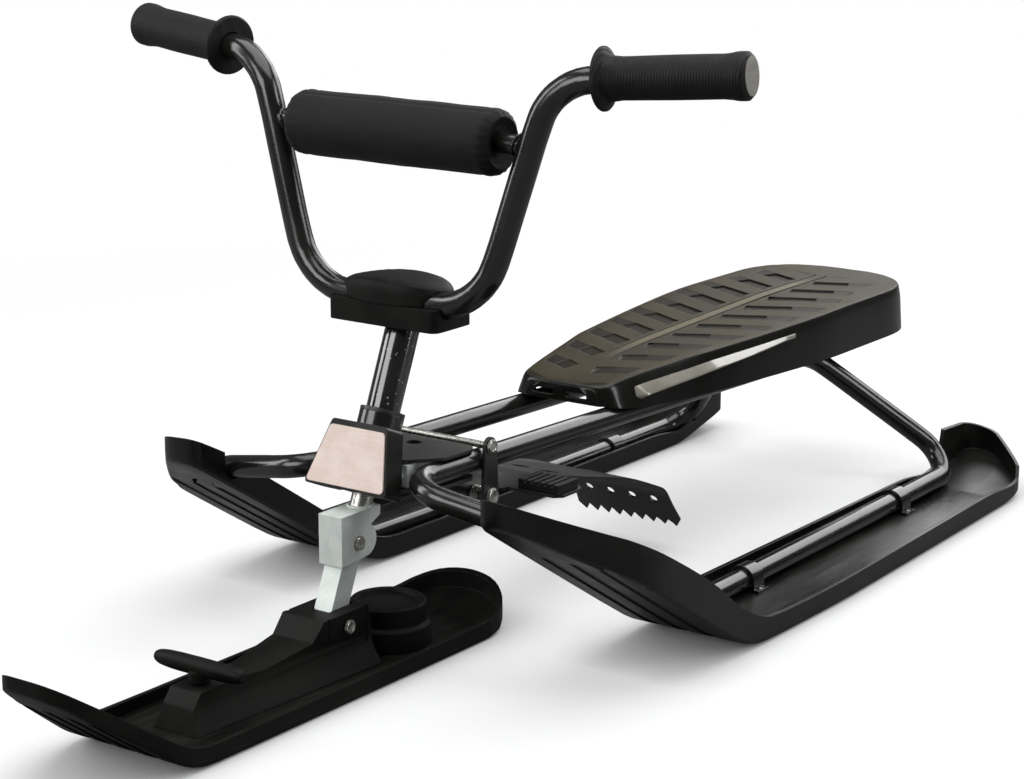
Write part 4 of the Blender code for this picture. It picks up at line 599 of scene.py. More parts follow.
@dataclass(frozen=True)
class TurnedSteel(Finish):
    """Bright plated fasteners and wire: fine turning marks and a little grey tarnish."""

    tarnish: str = "#8d8c86"
    worn: str = "#f4f3ee"

    def build(self) -> bpy.types.Material:
        """Turn the steel and tarnish it a little.

        Returns:
            The material.
        """
        surface = Surface(self.name)
        rounded, edge = surface.edges(0.4 * MM)
        tarnish = surface.grain(4 * MM, 5)
        base = surface.tint(linear(self.colour), self.tarnish, tarnish, 1.0, (0.4, 0.7))
        base = surface.tint(base, self.worn, edge, 0.4, WHOLE)
        marks = surface.grain(0.4 * MM, 2, (0.2, 1.0, 1.0))
        return surface.finish(Base_Color=base, Roughness=self.uneven(surface, tarnish, -0.05, 0.15),
                              Normal=surface.relief(rounded, (marks, 0.01 * MM, 1.0)), Metallic=1.0)


@dataclass(frozen=True)
class LacqueredPlate(Finish):
    """The bare light plate: lacquered, with a brushed ground and darker borders."""

    cloud: str = "#dcc6bb"
    brushed: str = "#f1e4dc"
    darker_border: str = "#7d6a62"

    def build(self) -> bpy.types.Material:
        """Brush the plate and darken its borders.

        Returns:
            The material.
        """
        surface = Surface(self.name)
        rounded, edge = surface.edges(1.0 * MM)
        brushed = surface.grain(1.0 * MM, 4, (0.04, 1.0, 1.0))
        base = surface.tint(linear(self.colour), self.cloud, surface.grain(18 * MM, 4))
        base = surface.tint(base, self.brushed, brushed, 0.35)
        base = surface.tint(base, self.darker_border, edge, 0.6, WHOLE)
        return surface.finish(Base_Color=base, Roughness=self.uneven(surface, brushed, -0.05, 0.08),
                              Normal=surface.relief(rounded, (brushed, 0.01 * MM, 1.0)), IOR=1.49,
                              Coat_Weight=0.3)


@dataclass(frozen=True)
class Nylon(Finish):
    """Nylon of the bushes, the drum and the plugs: soft, slightly cloudy."""

    cloud: str = "#bdbcb3"

    def build(self) -> bpy.types.Material:
        """Cloud the nylon.

        Returns:
            The material.
        """
        surface = Surface(self.name)
        cloud = surface.grain(6 * MM, 4)
        return surface.finish(Base_Color=surface.tint(linear(self.colour), self.cloud, cloud),
                              Roughness=self.uneven(surface, cloud, 0.0, 0.1), IOR=1.53,
                              Normal=surface.relief(None, (surface.grain(0.5 * MM, 2), 0.02 * MM, 1.0)),
                              Subsurface_Weight=0.1, Subsurface_Scale=0.002)


FINISHES: tuple[Finish, ...] = (
    # Bent tube: deep black with long soft highlights.
    PowderCoat("powder_coated_steel", Slot.PAINT, "#141413", 0.20),
    # The column: the same coat, glossier, with pale specks that are painted glints.
    PowderCoat("powder_coated_column", Slot.PAINT, "#141413", 0.13, glint_specks=0.8, coat=0.9),
    # Flat sheet: a duller coat with a finer peel.
    PowderCoat("powder_coated_sheet", Slot.PAINT, "#161614", 0.42, peel=1.8 * MM),
    # The rear skis: black with a broad soft gloss.
    MouldedPlastic("moulded_polyethylene", Slot.PLASTIC, "#0e0e0d", 0.30),
    # The front ski and the clamp: the same plastic from a duller mould.
    MouldedPlastic("matte_polyethylene", Slot.PLASTIC, "#0a0a09", 0.48, rubbed="#302f2c",
                   gloss=0.10),
    # The seat: warm dusty brown on top, black and mirroring at its sides, where the black is painted
    # shade.
    SeatPlastic("grained_seat_plastic", Slot.SEAT, "#2f2a20", 0.20),
    # The seat's side ledges: one bright line, a painted highlight.
    PaintedHighlightPlastic("seat_ledge_painted_highlight", Slot.SEAT, "#77746b", 0.15),
    # The grips: black that hardly shines.
    GripRubber("ribbed_grip_rubber", Slot.RUBBER, "#0c0c0b", 0.62),
    # The pad: the dullest black.
    FoamSleeve("woven_pad_sleeve", Slot.FOAM, "#0e0e0d", 0.70),
    # The fork: pale, cool and satin.
    ZincPlate("zinc_plated_pressing", Slot.ZINC, "#eef3ef", 0.42),
    # Bolts, screws and springs: small bright glints.
    TurnedSteel("bright_plated_steel", Slot.STEEL, "#c6c5c0", 0.26),
    # The bare head plate: pale rose beige.
    LacqueredPlate("lacquered_head_plate", Slot.PLATE, "#ead8ce", 0.36),
    # Bushes and drum: milky, black and light grey.
    Nylon("moulded_nylon", Slot.NYLON, "#ceccc2", 0.42),
    Nylon("black_nylon", Slot.NYLON, "#1a1a19", 0.40, cloud="#232321"),
    Nylon("grey_nylon", Slot.NYLON, "#7b7973", 0.40, cloud="#8a8881"),
)


def smoothing_tree(rounding: int) -> bpy.types.NodeTree:
    """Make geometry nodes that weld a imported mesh's split corners and smooth its gentle edges.

    Args:
        rounding: how many times its gentle curves are divided finer; sharp edges stay as they are.

    Returns:
        The node tree.
    """
    tree = bpy.data.node_groups.new(f"weld_and_smooth_{rounding}", "GeometryNodeTree")
    for way in ("INPUT", "OUTPUT"):
        tree.interface.new_socket("Geometry", in_out=way, socket_type="NodeSocketGeometry")
    graph = Graph(tree)
    angle = graph.add("GeometryNodeInputMeshEdgeAngle")
    sharp = graph.add("FunctionNodeCompare", (angle, math.radians(34)), operation="GREATER_THAN")
    mesh = graph.add("NodeGroupInput")
    mesh = graph.add("GeometryNodeMergeByDistance", {0: mesh, "Distance": 0.00001})
    mesh = graph.add("GeometryNodeRemoveAttribute", {0: mesh, "Name": "custom_normal"})
    mesh = graph.add("GeometryNodeSubdivisionSurface",
                     {0: mesh, "Level": rounding, "Edge Crease": sharp})
    mesh = graph.add("GeometryNodeStoreNamedAttribute", {0: mesh, "Name": "sharp_edge", "Value": sharp},
                     data_type="BOOLEAN", domain="EDGE")
    mesh = graph.add("GeometryNodeSetShadeSmooth", {0: mesh})
    graph.add("NodeGroupOutput", {0: mesh})
    return tree


class Workshop:
    """Holds the finished materials, dresses CAD nodes and places fine pieces."""

    def __init__(self, finishes: Sequence[Finish]) -> None:
        """Build the materials and the smoothing.

        Args:
            finishes: the finishes. The first of a slot is the slot's own.
        """
        self.by_name = {finish.name: finish for finish in finishes}
        self.material = {finish.name: finish.build() for finish in finishes}
        self.of_slot = {finish.slot: finish.name for finish in reversed(finishes)}
        self.fine, self.plain = smoothing_tree(1), smoothing_tree(0)

    def dress(self, name: str, slot: Slot, finish: str | None, exact: bool) -> None:
        """Give a CAD node its smoothing and its material.

        Args:
            name: the node.
            slot: its material slot.
            finish: its finish, or None for the slot's own.
            exact: whether it keeps the solid's own facets, without finer curves.
        """
        node = frame["nodes"][name]
        node.modifiers.new("smooth", "NODES").node_group = self.plain if exact else self.fine
        node.modifiers.new("weighted", "WEIGHTED_NORMAL").keep_sharp = True
        finish = finish or self.of_slot[slot]
        node.data.materials.clear()
        node.data.materials.append(self.material[finish])
        LOG.info("node %s: %s", name, finish)

    def place(self, name: str, mesh: bmesh.types.BMesh, body: Body, finish: str,
              replaces: Sequence[str] = (), smooth: float = 40.0,
              turning: tuple[Body, Vector, Vector] | None = None) -> bpy.types.Object:
        """Make a piece of a mesh.

        Args:
            name: the piece's name.
            mesh: its shape in the frame's coordinates.
            body: the CAD body that it rides on.
            finish: the name of its finish.
            replaces: the CAD nodes that it stands for.
            smooth: the edge angle in degrees above which an edge stays sharp.
            turning: when given, only its presence is read: the piece stays in place with its transform
                baked and rides on no body.

        Returns:
            The new object.
        """
        bmesh.ops.recalc_face_normals(mesh, faces=mesh.faces)
        data = bpy.data.meshes.new(name)
        mesh.to_mesh(data)
        mesh.free()
        data.shade_smooth()
        data.set_sharp_from_angle(angle=math.radians(smooth))
        piece = bpy.data.objects.new(name, data)
        bpy.context.scene.collection.objects.link(piece)
        data.materials.append(self.material[finish])
        if turning:
            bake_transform(piece)
        else:
            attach(piece, body.value)
        if replaces:
            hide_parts(*replaces)
        LOG.info("piece %s on %s: %d faces", name, body.value, len(data.polygons))
        return piece


def skin(mesh: bmesh.types.BMesh, rings: Sequence[Sequence[bmesh.types.BMVert]], closed: bool,
         shift: int = 0) -> None:
    """Join rings of vertices into a tube, with a face at each end unless it runs round.

    Args:
        mesh: the mesh that holds the rings.
        rings: the rings, which all have as many vertices.
        closed: whether the last ring joins the first.
        shift: by how many vertices the first ring stands turned where the last joins it.
    """
    count = len(rings[0])
    pairs = [(first, second, 0) for first, second in zip(rings, rings[1:])]
    if closed:
        pairs.append((rings[-1], rings[0], shift))
    for first, second, turn in pairs:
        for step in range(count):
            after = (step + 1) % count
            near, far = (step + turn) % count, (after + turn) % count
            mesh.faces.new((first[step], first[after], second[far], second[near]))
    if not closed:
        mesh.faces.new(rings[0])
        mesh.faces.new(rings[-1])


def around(steps: int) -> list[float]:
    """Return the angles of a number of even steps round a circle."""
    return [2 * math.pi * step / steps for step in range(steps)]


def lathe(rows: Sequence[tuple], steps: int, turn: Matrix, closed: bool,
          shape: Callable[[tuple, float], tuple[float, float]] | None = None) -> bmesh.types.BMesh:
    """Turn a section about its own Z.

    Args:
        rows: the section's points as (radius, height), or as the shape takes them.
        steps: how many facets go round.
        turn: where the turned piece stands.
        closed: whether the section runs back to its first point.
        shape: gives a row's radius and height at an angle.

    Returns:
        The turned mesh.
    """
    mesh = bmesh.new()
    rings = []
    for row in rows:
        ring = []
        for angle in around(steps):
            radius, height = shape(row, angle) if shape else row
            point = Vector((radius * math.cos(angle), radius * math.sin(angle), height))
            ring.append(mesh.verts.new(turn @ point))
        rings.append(ring)
    skin(mesh, rings, closed)
    return mesh


def sweep(points: Sequence[Vector], radius: Callable[[int], float], sides: int,
          closed: bool) -> bmesh.types.BMesh:
    """Run a round section along points.

    Args:
        points: the path.
        radius: gives the section's radius at each point's number.
        sides: how many facets go round.
        closed: whether the path ends where it starts.

    Returns:
        The swept mesh.
    """
    mesh = bmesh.new()
    count = len(points)
    rings = []
    side = None
    for index, point in enumerate(points):
        before = points[index - 1] if closed or index else point
        after = points[(index + 1) % count] if closed or index < count - 1 else point
        along = (after - before).normalized()
        start = side if side is not None else along.orthogonal()
        side = (start - along * start.dot(along)).normalized()
        other = along.cross(side)
        rings.append([mesh.verts.new(point + (side * math.cos(t) + other * math.sin(t)) * radius(index))
                      for t in around(sides)])
    shift = min(range(sides), key=lambda n: (rings[0][n].co - rings[-1][0].co).length)
    skin(mesh, rings, closed, shift)
    return mesh


@dataclass(frozen=True)
class PaddedCrossbar:
    """The foam pad in its sleeve: crowned ends, drawn hems, a rear seam and shallow wrinkles."""

    half: float = 0.103
    radius: float = 0.0275
    bore: float = 0.0084
    crown_length: float = 0.010
    crown_drop: float = 0.006
    dish_radius: float = 0.018
    seam_angle: float = math.radians(200)
    welt_radius: float = 0.0203
    welt: float = 0.0008

    def section(self) -> list[tuple[float, float]]:
        """Draw the pad's section from its bore round to its bore.

        Returns:
            Its points, as radius and height.
        """
        outer = []
        count = 56
        for step in range(count + 1):
            height = -self.half + 2 * self.half * step / count
            left = (self.half - abs(height)) / self.crown_length
            crown = math.sqrt(max(0.0, 1 - (1 - min(left, 1.0)) ** 2))
            outer.append((self.radius - self.crown_drop * (1 - crown), height))
        dish = [(0.0195, self.half - 0.0010), (0.0165, self.half - 0.0040),
                (0.0110, self.half - 0.0050), (self.bore, self.half - 0.0052)]
        low = [(radius, -height) for radius, height in reversed(dish)]
        return low + outer + dish

    def swell(self, row: tuple[float, float], angle: float) -> tuple[float, float]:
        """Shape the sleeve's wrinkles, puckers, hems and seam.

        Args:
            row: a point of the section, as radius and height.
            angle: where it is round the pad.

        Returns:
            Its radius and height with them.
        """
        radius, height = row
        if radius < self.dish_radius:
            return row
        at = Vector((height * 30, math.cos(angle) * 1.6, math.sin(angle) * 1.6))
        wrinkle = noise.noise(at) * 0.00045 + noise.noise(at * 2.7) * 0.00020
        from_end = self.half - abs(height)
        pucker = 0.00035 * math.sin(angle * 22) * math.exp(-(from_end / 0.012) ** 2)
        from_seam = math.remainder(angle - self.seam_angle, 2 * math.pi)
        seam = 0.0011 * math.exp(-(from_seam / 0.05) ** 2)
        hem = 0.0006 * math.exp(-((from_end - 0.014) / 0.0012) ** 2)
        return radius + wrinkle + pucker - seam - hem - 0.0006, height

    def build(self, shop: Workshop, centre: Vector) -> None:
        """Make the pad and the two welted rims of its end discs.

        Args:
            shop: the workshop.
            centre: the crossbar's middle.
        """
        turn = Matrix.Translation(centre) @ Matrix.Rotation(math.pi / 2, 4, "Y")
        pad = shop.place("crossbar_pad_sleeve", lathe(self.section(), 96, turn, True, self.swell),
                         Body.STEERING, "woven_pad_sleeve", ["crossbar_pad"], 60.0)
        for word, side in reversed(SIDES):
            x = side * (self.half - self.welt)
            path = [centre + Vector((x, self.welt_radius * math.cos(t), self.welt_radius * math.sin(t)))
                    for t in around(64)]
            mesh = sweep(path, lambda index: self.welt, 8, True)
            welt = shop.place("pad_welt_" + word, mesh, Body.STEERING, "woven_pad_sleeve")


@dataclass(frozen=True)
class GripPlug:
    """The grey plug that closes a grip's end, found by the axis of the grip's own mesh."""

    word: str
    side: int
    radius: float = 0.0152
    crown: float = 0.0003
    chamfer: float = 0.0010

    def end(self) -> tuple[Vector, Vector]:
        """Find the grip's end face from the long axis of its mesh.

        Returns:
            The face's middle and its outward axis.
        """
        vertices = frame["nodes"]["grip_" + self.word].data.vertices
        points = [Vector(at) for at in sorted({tuple(round(c, 5) for c in v.co) for v in vertices})]
        nothing = Vector((0.0, 0.0, 0.0))
        middle = sum(points, nothing) / len(points)
        axis = Vector((self.side, 0.0, 0.0))
        for _ in range(30):
            pulls = [(point - middle) * (point - middle).dot(axis) for point in points]
            axis = sum(pulls, nothing).normalized()
        return middle + axis * max((point - middle).dot(axis) for point in points), axis

    def build(self, shop: Workshop) -> None:
        """Make the plug, with a shallow dimple in its middle.

        Args:
            shop: the workshop.
        """
        middle, axis = self.end()
        turn = Matrix.Translation(middle) @ axis.to_track_quat("Z", "Y").to_matrix().to_4x4()
        depth = -0.0003
        face = [(SPOT, depth), (self.radius, depth), (self.radius, self.crown * 0.5),
                (self.radius - self.chamfer, self.crown), (self.radius * 0.35, self.crown * 0.8),
                (self.radius * 0.28, self.crown * 0.3), (SPOT, self.crown * 0.3)]
        shop.place("grip_plug_" + self.word, lathe(face, 48, turn, True), Body.STEERING, "grey_nylon",
                   (), 35.0)


@dataclass(frozen=True)
class HexBolt:
    """A bolt across the sled: chamfered six-sided head, washer, shank and a threaded end."""

    node: str
    body: Body
    radius: float
    reach: float
    head_radius: float
    head: float
    washer: float = 0.0007
    end: float = 0.004
    thread: float = 0.0036
    pitch: float = 0.0005
    chamfer_start: float = 0.93

    def shape(self, row: tuple[Form, float, float], angle: float) -> tuple[float, float]:
        """Shape a section's outline.

        Args:
            row: the section's form, its radius if it is round, and its height.
            angle: where it is asked for.

        Returns:
            Its radius and its height there.
        """
        form, radius, height = row
        if form is Form.ROUND:
            return max(radius, SPOT), height
        flat = self.head_radius * math.cos(math.radians(30))
        turned = (angle + math.radians(30)) % math.radians(60) - math.radians(30)
        reach = flat / math.cos(turned)
        drop = (reach - flat * self.chamfer_start) * 0.55 if form is Form.CHAMFER else 0.0
        return reach, height - drop

    def build(self, shop: Workshop, y: float, z: float) -> None:
        """Make the bolt in place of its CAD node.

        Args:
            shop: the workshop.
            y: where its axis is along the sled.
            z: how high its axis is.
        """
        top = self.reach + self.head
        flat = self.head_radius * math.cos(math.radians(30))
        dimple = 0.0003
        rows = [(Form.ROUND, 0.0, top - dimple), (Form.ROUND, flat * 0.62, top - dimple),
                (Form.ROUND, flat * 0.72, top), (Form.ROUND, flat * self.chamfer_start, top),
                (Form.CHAMFER, 0.0, top), (Form.HEXAGON, 0.0, self.reach + self.washer),
                (Form.ROUND, self.head_radius, self.reach + self.washer),
                (Form.ROUND, self.head_radius, self.reach), (Form.ROUND, self.radius, self.reach)]
        end = -self.reach - self.end
        threads = int(self.thread / self.pitch)
        for number in range(threads, 0, -1):
            start = end + number * self.pitch
            rows.append((Form.ROUND, self.radius - 0.00002, start))
            rows.append((Form.ROUND, self.radius - 0.00030, start - self.pitch / 2))
        rows += [(Form.ROUND, self.radius - 0.0005, end), (Form.ROUND, 0.0, end)]
        turn = Matrix.Translation((0.0, y, z)) @ Matrix.Rotation(math.pi / 2, 4, "Y")
        shop.place(self.node + "_detailed", lathe(rows, 48, turn, False, self.shape), self.body,
                   "bright_plated_steel", [self.node], 30.0)


@dataclass(frozen=True)
class WeldBead:
    """A welded seam: overlapping ripples along a path."""

    name: str
    body: Body
    radius: float
    closed: bool
    finish: str = "powder_coated_steel"
    ripple: int = 5

    def build(self, shop: Workshop, points: Sequence[Vector]) -> None:
        """Make the bead, thicker and thinner from ripple to ripple.

        Args:
            shop: the workshop.
            points: the seam's path.
        """
        turn = 2 * math.pi / self.ripple
        mesh = sweep(points, lambda index: self.radius * (0.86 + 0.14 * math.cos(turn * index)), 10,
                     self.closed)
        shop.place(self.name, mesh, self.body, self.finish, (), 80.0)


@dataclass(frozen=True)
class TorsionSpring:
    """A brake spring of smooth round wire, wound about the axle, in place of its coarser solid."""

    word: str
    side: int
    first_x: float = 0.0405
    coil_radius: float = 0.0065
    wire: float = 0.001
    turns: float = 3.5
    pitch: float = 0.0026
    rest_lift: float = -0.00255
    leg: float = 0.034
    stop_x: float = 0.0542

    def build(self, shop: Workshop, axle: Vector) -> None:
        """Make the spring, with a leg under the brake's plate and one on the hanger.

        Args:
            shop: the workshop.
            axle: the middle of the brake's axle.
        """
        steps = 24
        coils = []
        for step in range(int(self.turns * steps) + 1):
            angle = -math.pi / 2 + 2 * math.pi * step / steps
            x = self.side * (self.first_x + self.pitch * step / steps)
            coils.append(axle + Vector((x, self.coil_radius * math.cos(angle),
                                        self.coil_radius * math.sin(angle))))
        near = axle + Vector((self.side * self.first_x, 0.0, 0.0))
        leg = [near + Vector((0.0, self.leg, self.rest_lift)),
               near + Vector((0.0, self.leg - 0.004, self.rest_lift))]
        for share in (0.93, 0.75, 0.5, 0.25):
            y = self.coil_radius + share * 0.0195
            leg.append(near + Vector((0.0, y, -self.coil_radius * (1 - share) + self.rest_lift * share)))
        last = coils[-1]
        stop_x = self.side * self.stop_x
        stop = [Vector((last.x, last.y - 0.003, last.z)),
                Vector(((last.x + stop_x) / 2, last.y - 0.0055, last.z)),
                Vector((stop_x, last.y - 0.007, last.z))]
        mesh = sweep(leg + coils + stop, lambda index: self.wire, 10, False)
        node = "brake_spring_" + self.word
        still, turned = (axle + Vector((self.side * (self.first_x + past), 0.0, 0.0))
                         for past in (0.0088, 0.0006))
        shop.place(node + "_wire", mesh, Body.FRAME, "bright_plated_steel", [node], 60.0,
                   (Body.BRAKE, still, turned))


@dataclass(frozen=True)
class ScrewDrive:
    """The cross recess in a domed screw head, seen as four sunken facets on a low boss."""

    name: str
    radius: float = 0.0025
    recess: float = 0.0008

    def shape(self, row: tuple[float, float], angle: float) -> tuple[float, float]:
        """Sink the cross into the dome.

        Args:
            row: a ring's share of the radius, and its height.
            angle: where it is asked for.

        Returns:
            Its radius and its height there.
        """
        share, height = row
        cross = abs(math.cos(2 * angle)) > 0.90 and share <= 0.5
        return self.radius * share, height - (self.recess if cross else 0.0)

    def build(self, shop: Workshop, at: Vector) -> None:
        """Make the head with its recess.

        Args:
            shop: the workshop.
            at: the middle of its seat.
        """
        dome = ((1.0, 0.0), (0.97, 0.0006), (0.80, 0.0011), (0.50, 0.0014), (0.22, 0.0015))
        mesh = lathe(dome, 32, Matrix.Translation(at), False, self.shape)
        shop.place(self.name, mesh, Body.FRAME, "bright_plated_steel", (), 35.0)


@dataclass(frozen=True)
class SeatLedge:
    """The ledge below the seat's rim on one side, coloured as a painted highlight, fading out towards the
    rear.
    """

    word: str
    side: int
    start: float = 0.103
    end: float = 0.335
    stand_out: float = 0.0075
    below_rim: float = 0.0100
    height: float = 0.0125
    taper: float = 0.65
    fade_in: float = 0.03
    fade_out: float = 0.45

    def build(self, shop: Workshop) -> None:
        """Lay the ledge on the seat's own wall, found by casting rays at it.

        Args:
            shop: the workshop.
        """
        seat = frame["nodes"]["seat_shell"].data
        wall = BVHTree.FromPolygons([v.co for v in seat.vertices],
                                    [p.vertices[:] for p in seat.polygons])
        section = ((0.0, 0.0), (0.50, 0.88), (0.62, 1.0), (0.72, 0.97), (1.0, 0.0), (0.5, -0.35))
        mesh = bmesh.new()
        count = 44
        rings = []
        for share in (step / count for step in range(count + 1)):
            y = self.start + (self.end - self.start) * share
            top = wall.ray_cast(Vector((0.0, y, 0.30)), Vector((0.0, 0.0, -1.0)))[0]
            if top is None:
                continue
            late = max(0.0, share - self.fade_out) / (1 - self.fade_out)
            fade = math.sin(math.pi / 2 * min(1.0, share / self.fade_in)) * math.cos(math.pi / 2 * late)
            points = []
            for drop, out in section:
                z = top.z - self.below_rim - self.height * drop * (1 - self.taper * share)
                hit = wall.ray_cast(Vector((self.side * 0.2, y, z)), Vector((-self.side, 0.0, 0.0)))[0]
                if hit is None:
                    break
                points.append(hit + Vector((self.side * self.stand_out * out * fade, 0.0, 0.0)))
            if len(points) == len(section):
                rings.append([mesh.verts.new(point) for point in points])
        skin(mesh, rings, False)
        # Its finish is a painted highlight.
        shop.place("seat_ledge_" + self.word, mesh, Body.FRAME, "seat_ledge_painted_highlight", (), 50.0)


def axis_at(height: float) -> Vector:
    """Return the steering axis' point at a height."""
    return Vector((0.0, HEAD_AXIS_POINT.y + (height - HEAD_AXIS_POINT.z) * math.tan(RAKE), height))


def ring_path(middle: Vector, radius: float, count: int, start: float = 0.0,
              end: float = 360.0) -> list[Vector]:
    """Lay points round the raked axis in a level plane.

    Args:
        middle: the axis' point in that plane.
        radius: how far from the axis they are.
        count: how many points there are.
        start: the first one's angle in degrees.
        end: the last one's, or a whole turn more for a closed path.

    Returns:
        The points.
    """
    steps = count if end - start >= 360.0 else count - 1
    turns = [math.radians(start + (end - start) * step / steps) for step in range(count)]
    stretch = radius / math.cos(RAKE)
    return [middle + Vector((radius * math.cos(t), stretch * math.sin(t), 0.0)) for t in turns]


class Assembly:
    """A sub-assembly of the sled: it dresses its CAD nodes and adds its fine pieces."""

    NODES: ClassVar[tuple[str, ...]] = ()  # how its nodes' names start
    FINISH: ClassVar[dict[str, str]] = {}  # its nodes with another finish than their slot's own
    EXACT: ClassVar[tuple[str, ...]] = ()  # its nodes that keep the solid's own facets

    def dress(self, shop: Workshop) -> None:
        """Dress its nodes.

        Args:
            shop: the workshop.
        """
        for part in frame["record"]["subparts"]:
            name = part["node"]
            if name.startswith(self.NODES):
                shop.dress(name, Slot(part["material_slot"]), self.FINISH.get(name), name in self.EXACT)

    def build(self, shop: Workshop) -> None:
        """Add the fine pieces."""
        raise NotImplementedError


@dataclass(frozen=True)
class Steering(Assembly):
    """Handlebar with its padded crossbar and grips, column and fork."""

    NODES = ("steering", "handlebar", "crossbar", "bar_clamp", "clamp_bolt", "grip", "fork")
    FINISH = {"steering_column": "powder_coated_column", "bar_clamp_base": "matte_polyethylene",
              "bar_clamp_cover": "matte_polyethylene"}
    # The fork leg and the front mast pass so close that finer curves would touch.
    EXACT = ("fork_leg",)

    fork_bolt_y: float = -0.2357
    fork_bolt_z: float = 0.105
    crossbar_radius: float = 0.0086
    crossbar_weld_x: float = 0.1188
    fork_weld_radius: float = 0.0098

    def build(self, shop: Workshop) -> None:
        """Add the pad, the fork bolt, the grips' plugs and the welds of crossbar and fork.

        Args:
            shop: the workshop.
        """
        low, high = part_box("crossbar")
        centre = Vector((0.0, (low[1] + high[1]) / 2, (low[2] + high[2]) / 2))
        PaddedCrossbar().build(shop, centre)
        bolt = HexBolt("fork_bolt", Body.STEERING, radius=0.003, reach=0.0123, head_radius=0.0062,
                       head=0.0025)
        bolt.build(shop, self.fork_bolt_y, self.fork_bolt_z)
        for word, side in SIDES:
            GripPlug(word, side).build(shop)
            path = []
            for angle in around(60):
                y, z = self.crossbar_radius * math.cos(angle), self.crossbar_radius * math.sin(angle)
                x = self.crossbar_weld_x + 0.30 * z - 0.0014 * abs(math.cos(angle))
                path.append(centre + Vector((side * x, y, z)))
            weld = WeldBead("crossbar_weld_" + word, Body.STEERING, radius=0.0013, closed=True)
            weld.build(shop, path)
        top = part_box("fork_bracket")[1][2]
        weld = WeldBead("fork_weld", Body.STEERING, radius=0.0014, closed=True,
                        finish="zinc_plated_pressing")
        weld.build(shop, ring_path(axis_at(top + 0.0004), self.fork_weld_radius, 70))


@dataclass(frozen=True)
class Chassis(Assembly):
    """Bent tubes, head with its shield and plate, and the two rear skis with their saddles."""

    NODES = ("frame_tube", "head", "rear_ski", "tube_saddle")
    FINISH = {"head_gusset_upper": "powder_coated_sheet", "head_gusset_lower": "powder_coated_sheet",
              "head_bush_upper": "black_nylon"}

    gusset_weld_radius: float = 0.0196
    screw_inset: float = 0.0028
    screw_z: float = 0.0073

    def build(self, shop: Workshop) -> None:
        """Add the gussets' welds and the saddles' screws.

        Args:
            shop: the workshop.
        """
        for number, word in ((1, "upper"), (0, "lower")):
            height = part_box("head_gusset_" + word)[number][2]
            path = ring_path(axis_at(height), self.gusset_weld_radius, 60, 15, 165)
            WeldBead("gusset_weld_" + word, Body.FRAME, radius=0.0014, closed=False).build(shop, path)
        for word in ("left_front", "left_rear", "right_front", "right_rear"):
            low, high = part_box("tube_saddle_" + word)
            for number, x in enumerate((low[0] + self.screw_inset, high[0] - self.screw_inset)):
                at = Vector((x, (low[1] + high[1]) / 2, self.screw_z))
                ScrewDrive(f"saddle_screw_{word}_{number}").build(shop, at)


@dataclass(frozen=True)
class Seat(Assembly):
    """The ribbed seat shell with its brackets and screws."""

    NODES = ("seat",)
    FINISH = {"seat_bracket_front": "powder_coated_sheet", "seat_bracket_rear": "powder_coated_sheet"}

    def build(self, shop: Workshop) -> None:
        """Add the ledges with their painted highlight."""
        for word, side in SIDES:
            SeatLedge(word, side).build(shop)


@dataclass(frozen=True)
class Brake(Assembly):
    """The toothed foot brake with its hangers, axle and springs."""

    NODES = ("brake", "hanger_bolt", "axle_nut")
    FINISH = {"brake_plate": "powder_coated_sheet", "brake_hanger_left": "powder_coated_sheet",
              "brake_hanger_right": "powder_coated_sheet"}

    axle_y: float = -0.118
    axle_z: float = 0.124
    hanger_reach: float = 0.0588

    def build(self, shop: Workshop) -> None:
        """Add the springs' wire and the two long bolts.

        Args:
            shop: the workshop.
        """
        for word, side in SIDES:
            TorsionSpring(word, side).build(shop, Vector((0.0, self.axle_y, self.axle_z)))
        axle = HexBolt("brake_axle", Body.FRAME, radius=0.004, reach=self.hanger_reach,
                       head_radius=0.0075, head=0.003)
        axle.build(shop, self.axle_y, self.axle_z)
        low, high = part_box("hanger_bolt")
        bolt = HexBolt("hanger_bolt", Body.FRAME, radius=0.003, reach=self.hanger_reach,
                       head_radius=0.006, head=0.0028)
        bolt.build(shop, (low[1] + high[1]) / 2, (low[2] + high[2]) / 2)


@dataclass(frozen=True)
class FrontSki(Assembly):
    """The steered front ski with its mast, reel and tow handle."""

    NODES = ("front", "ski_pivot", "reel", "tow_handle")
    FINISH = dict.fromkeys(("front_ski", "front_mast", "reel_housing", "tow_handle"),
                           "matte_polyethylene")
    EXACT = ("front_mast",)

    pivot_y: float = -0.262
    pivot_z: float = 0.043

    def build(self, shop: Workshop) -> None:
        """Add the pivot bolt.

        Args:
            shop: the workshop.
        """
        bolt = HexBolt("ski_pivot_bolt", Body.FRONT_SKI, radius=0.003, reach=0.0223,
                       head_radius=0.0062, head=0.0025)
        bolt.build(shop, self.pivot_y, self.pivot_z)


@dataclass(frozen=True)
class Softbox:
    """One studio softbox: a large even light that draws long highlights."""

    name: str
    at: tuple[float, float, float]
    towards: tuple[float, float, float]
    size: tuple[float, float]
    watts: float

    def build(self) -> None:
        """Make the light."""
        light = bpy.data.lights.new(self.name, "AREA")
        light.shape = "RECTANGLE"
        light.size, light.size_y = self.size
        light.energy = self.watts
        holder = bpy.data.objects.new(self.name, light)
        holder.location = self.at
        aim = Vector(self.towards) - Vector(self.at)
        holder.rotation_euler = aim.to_track_quat("-Z", "Y").to_euler()
        bpy.context.scene.collection.objects.link(holder)


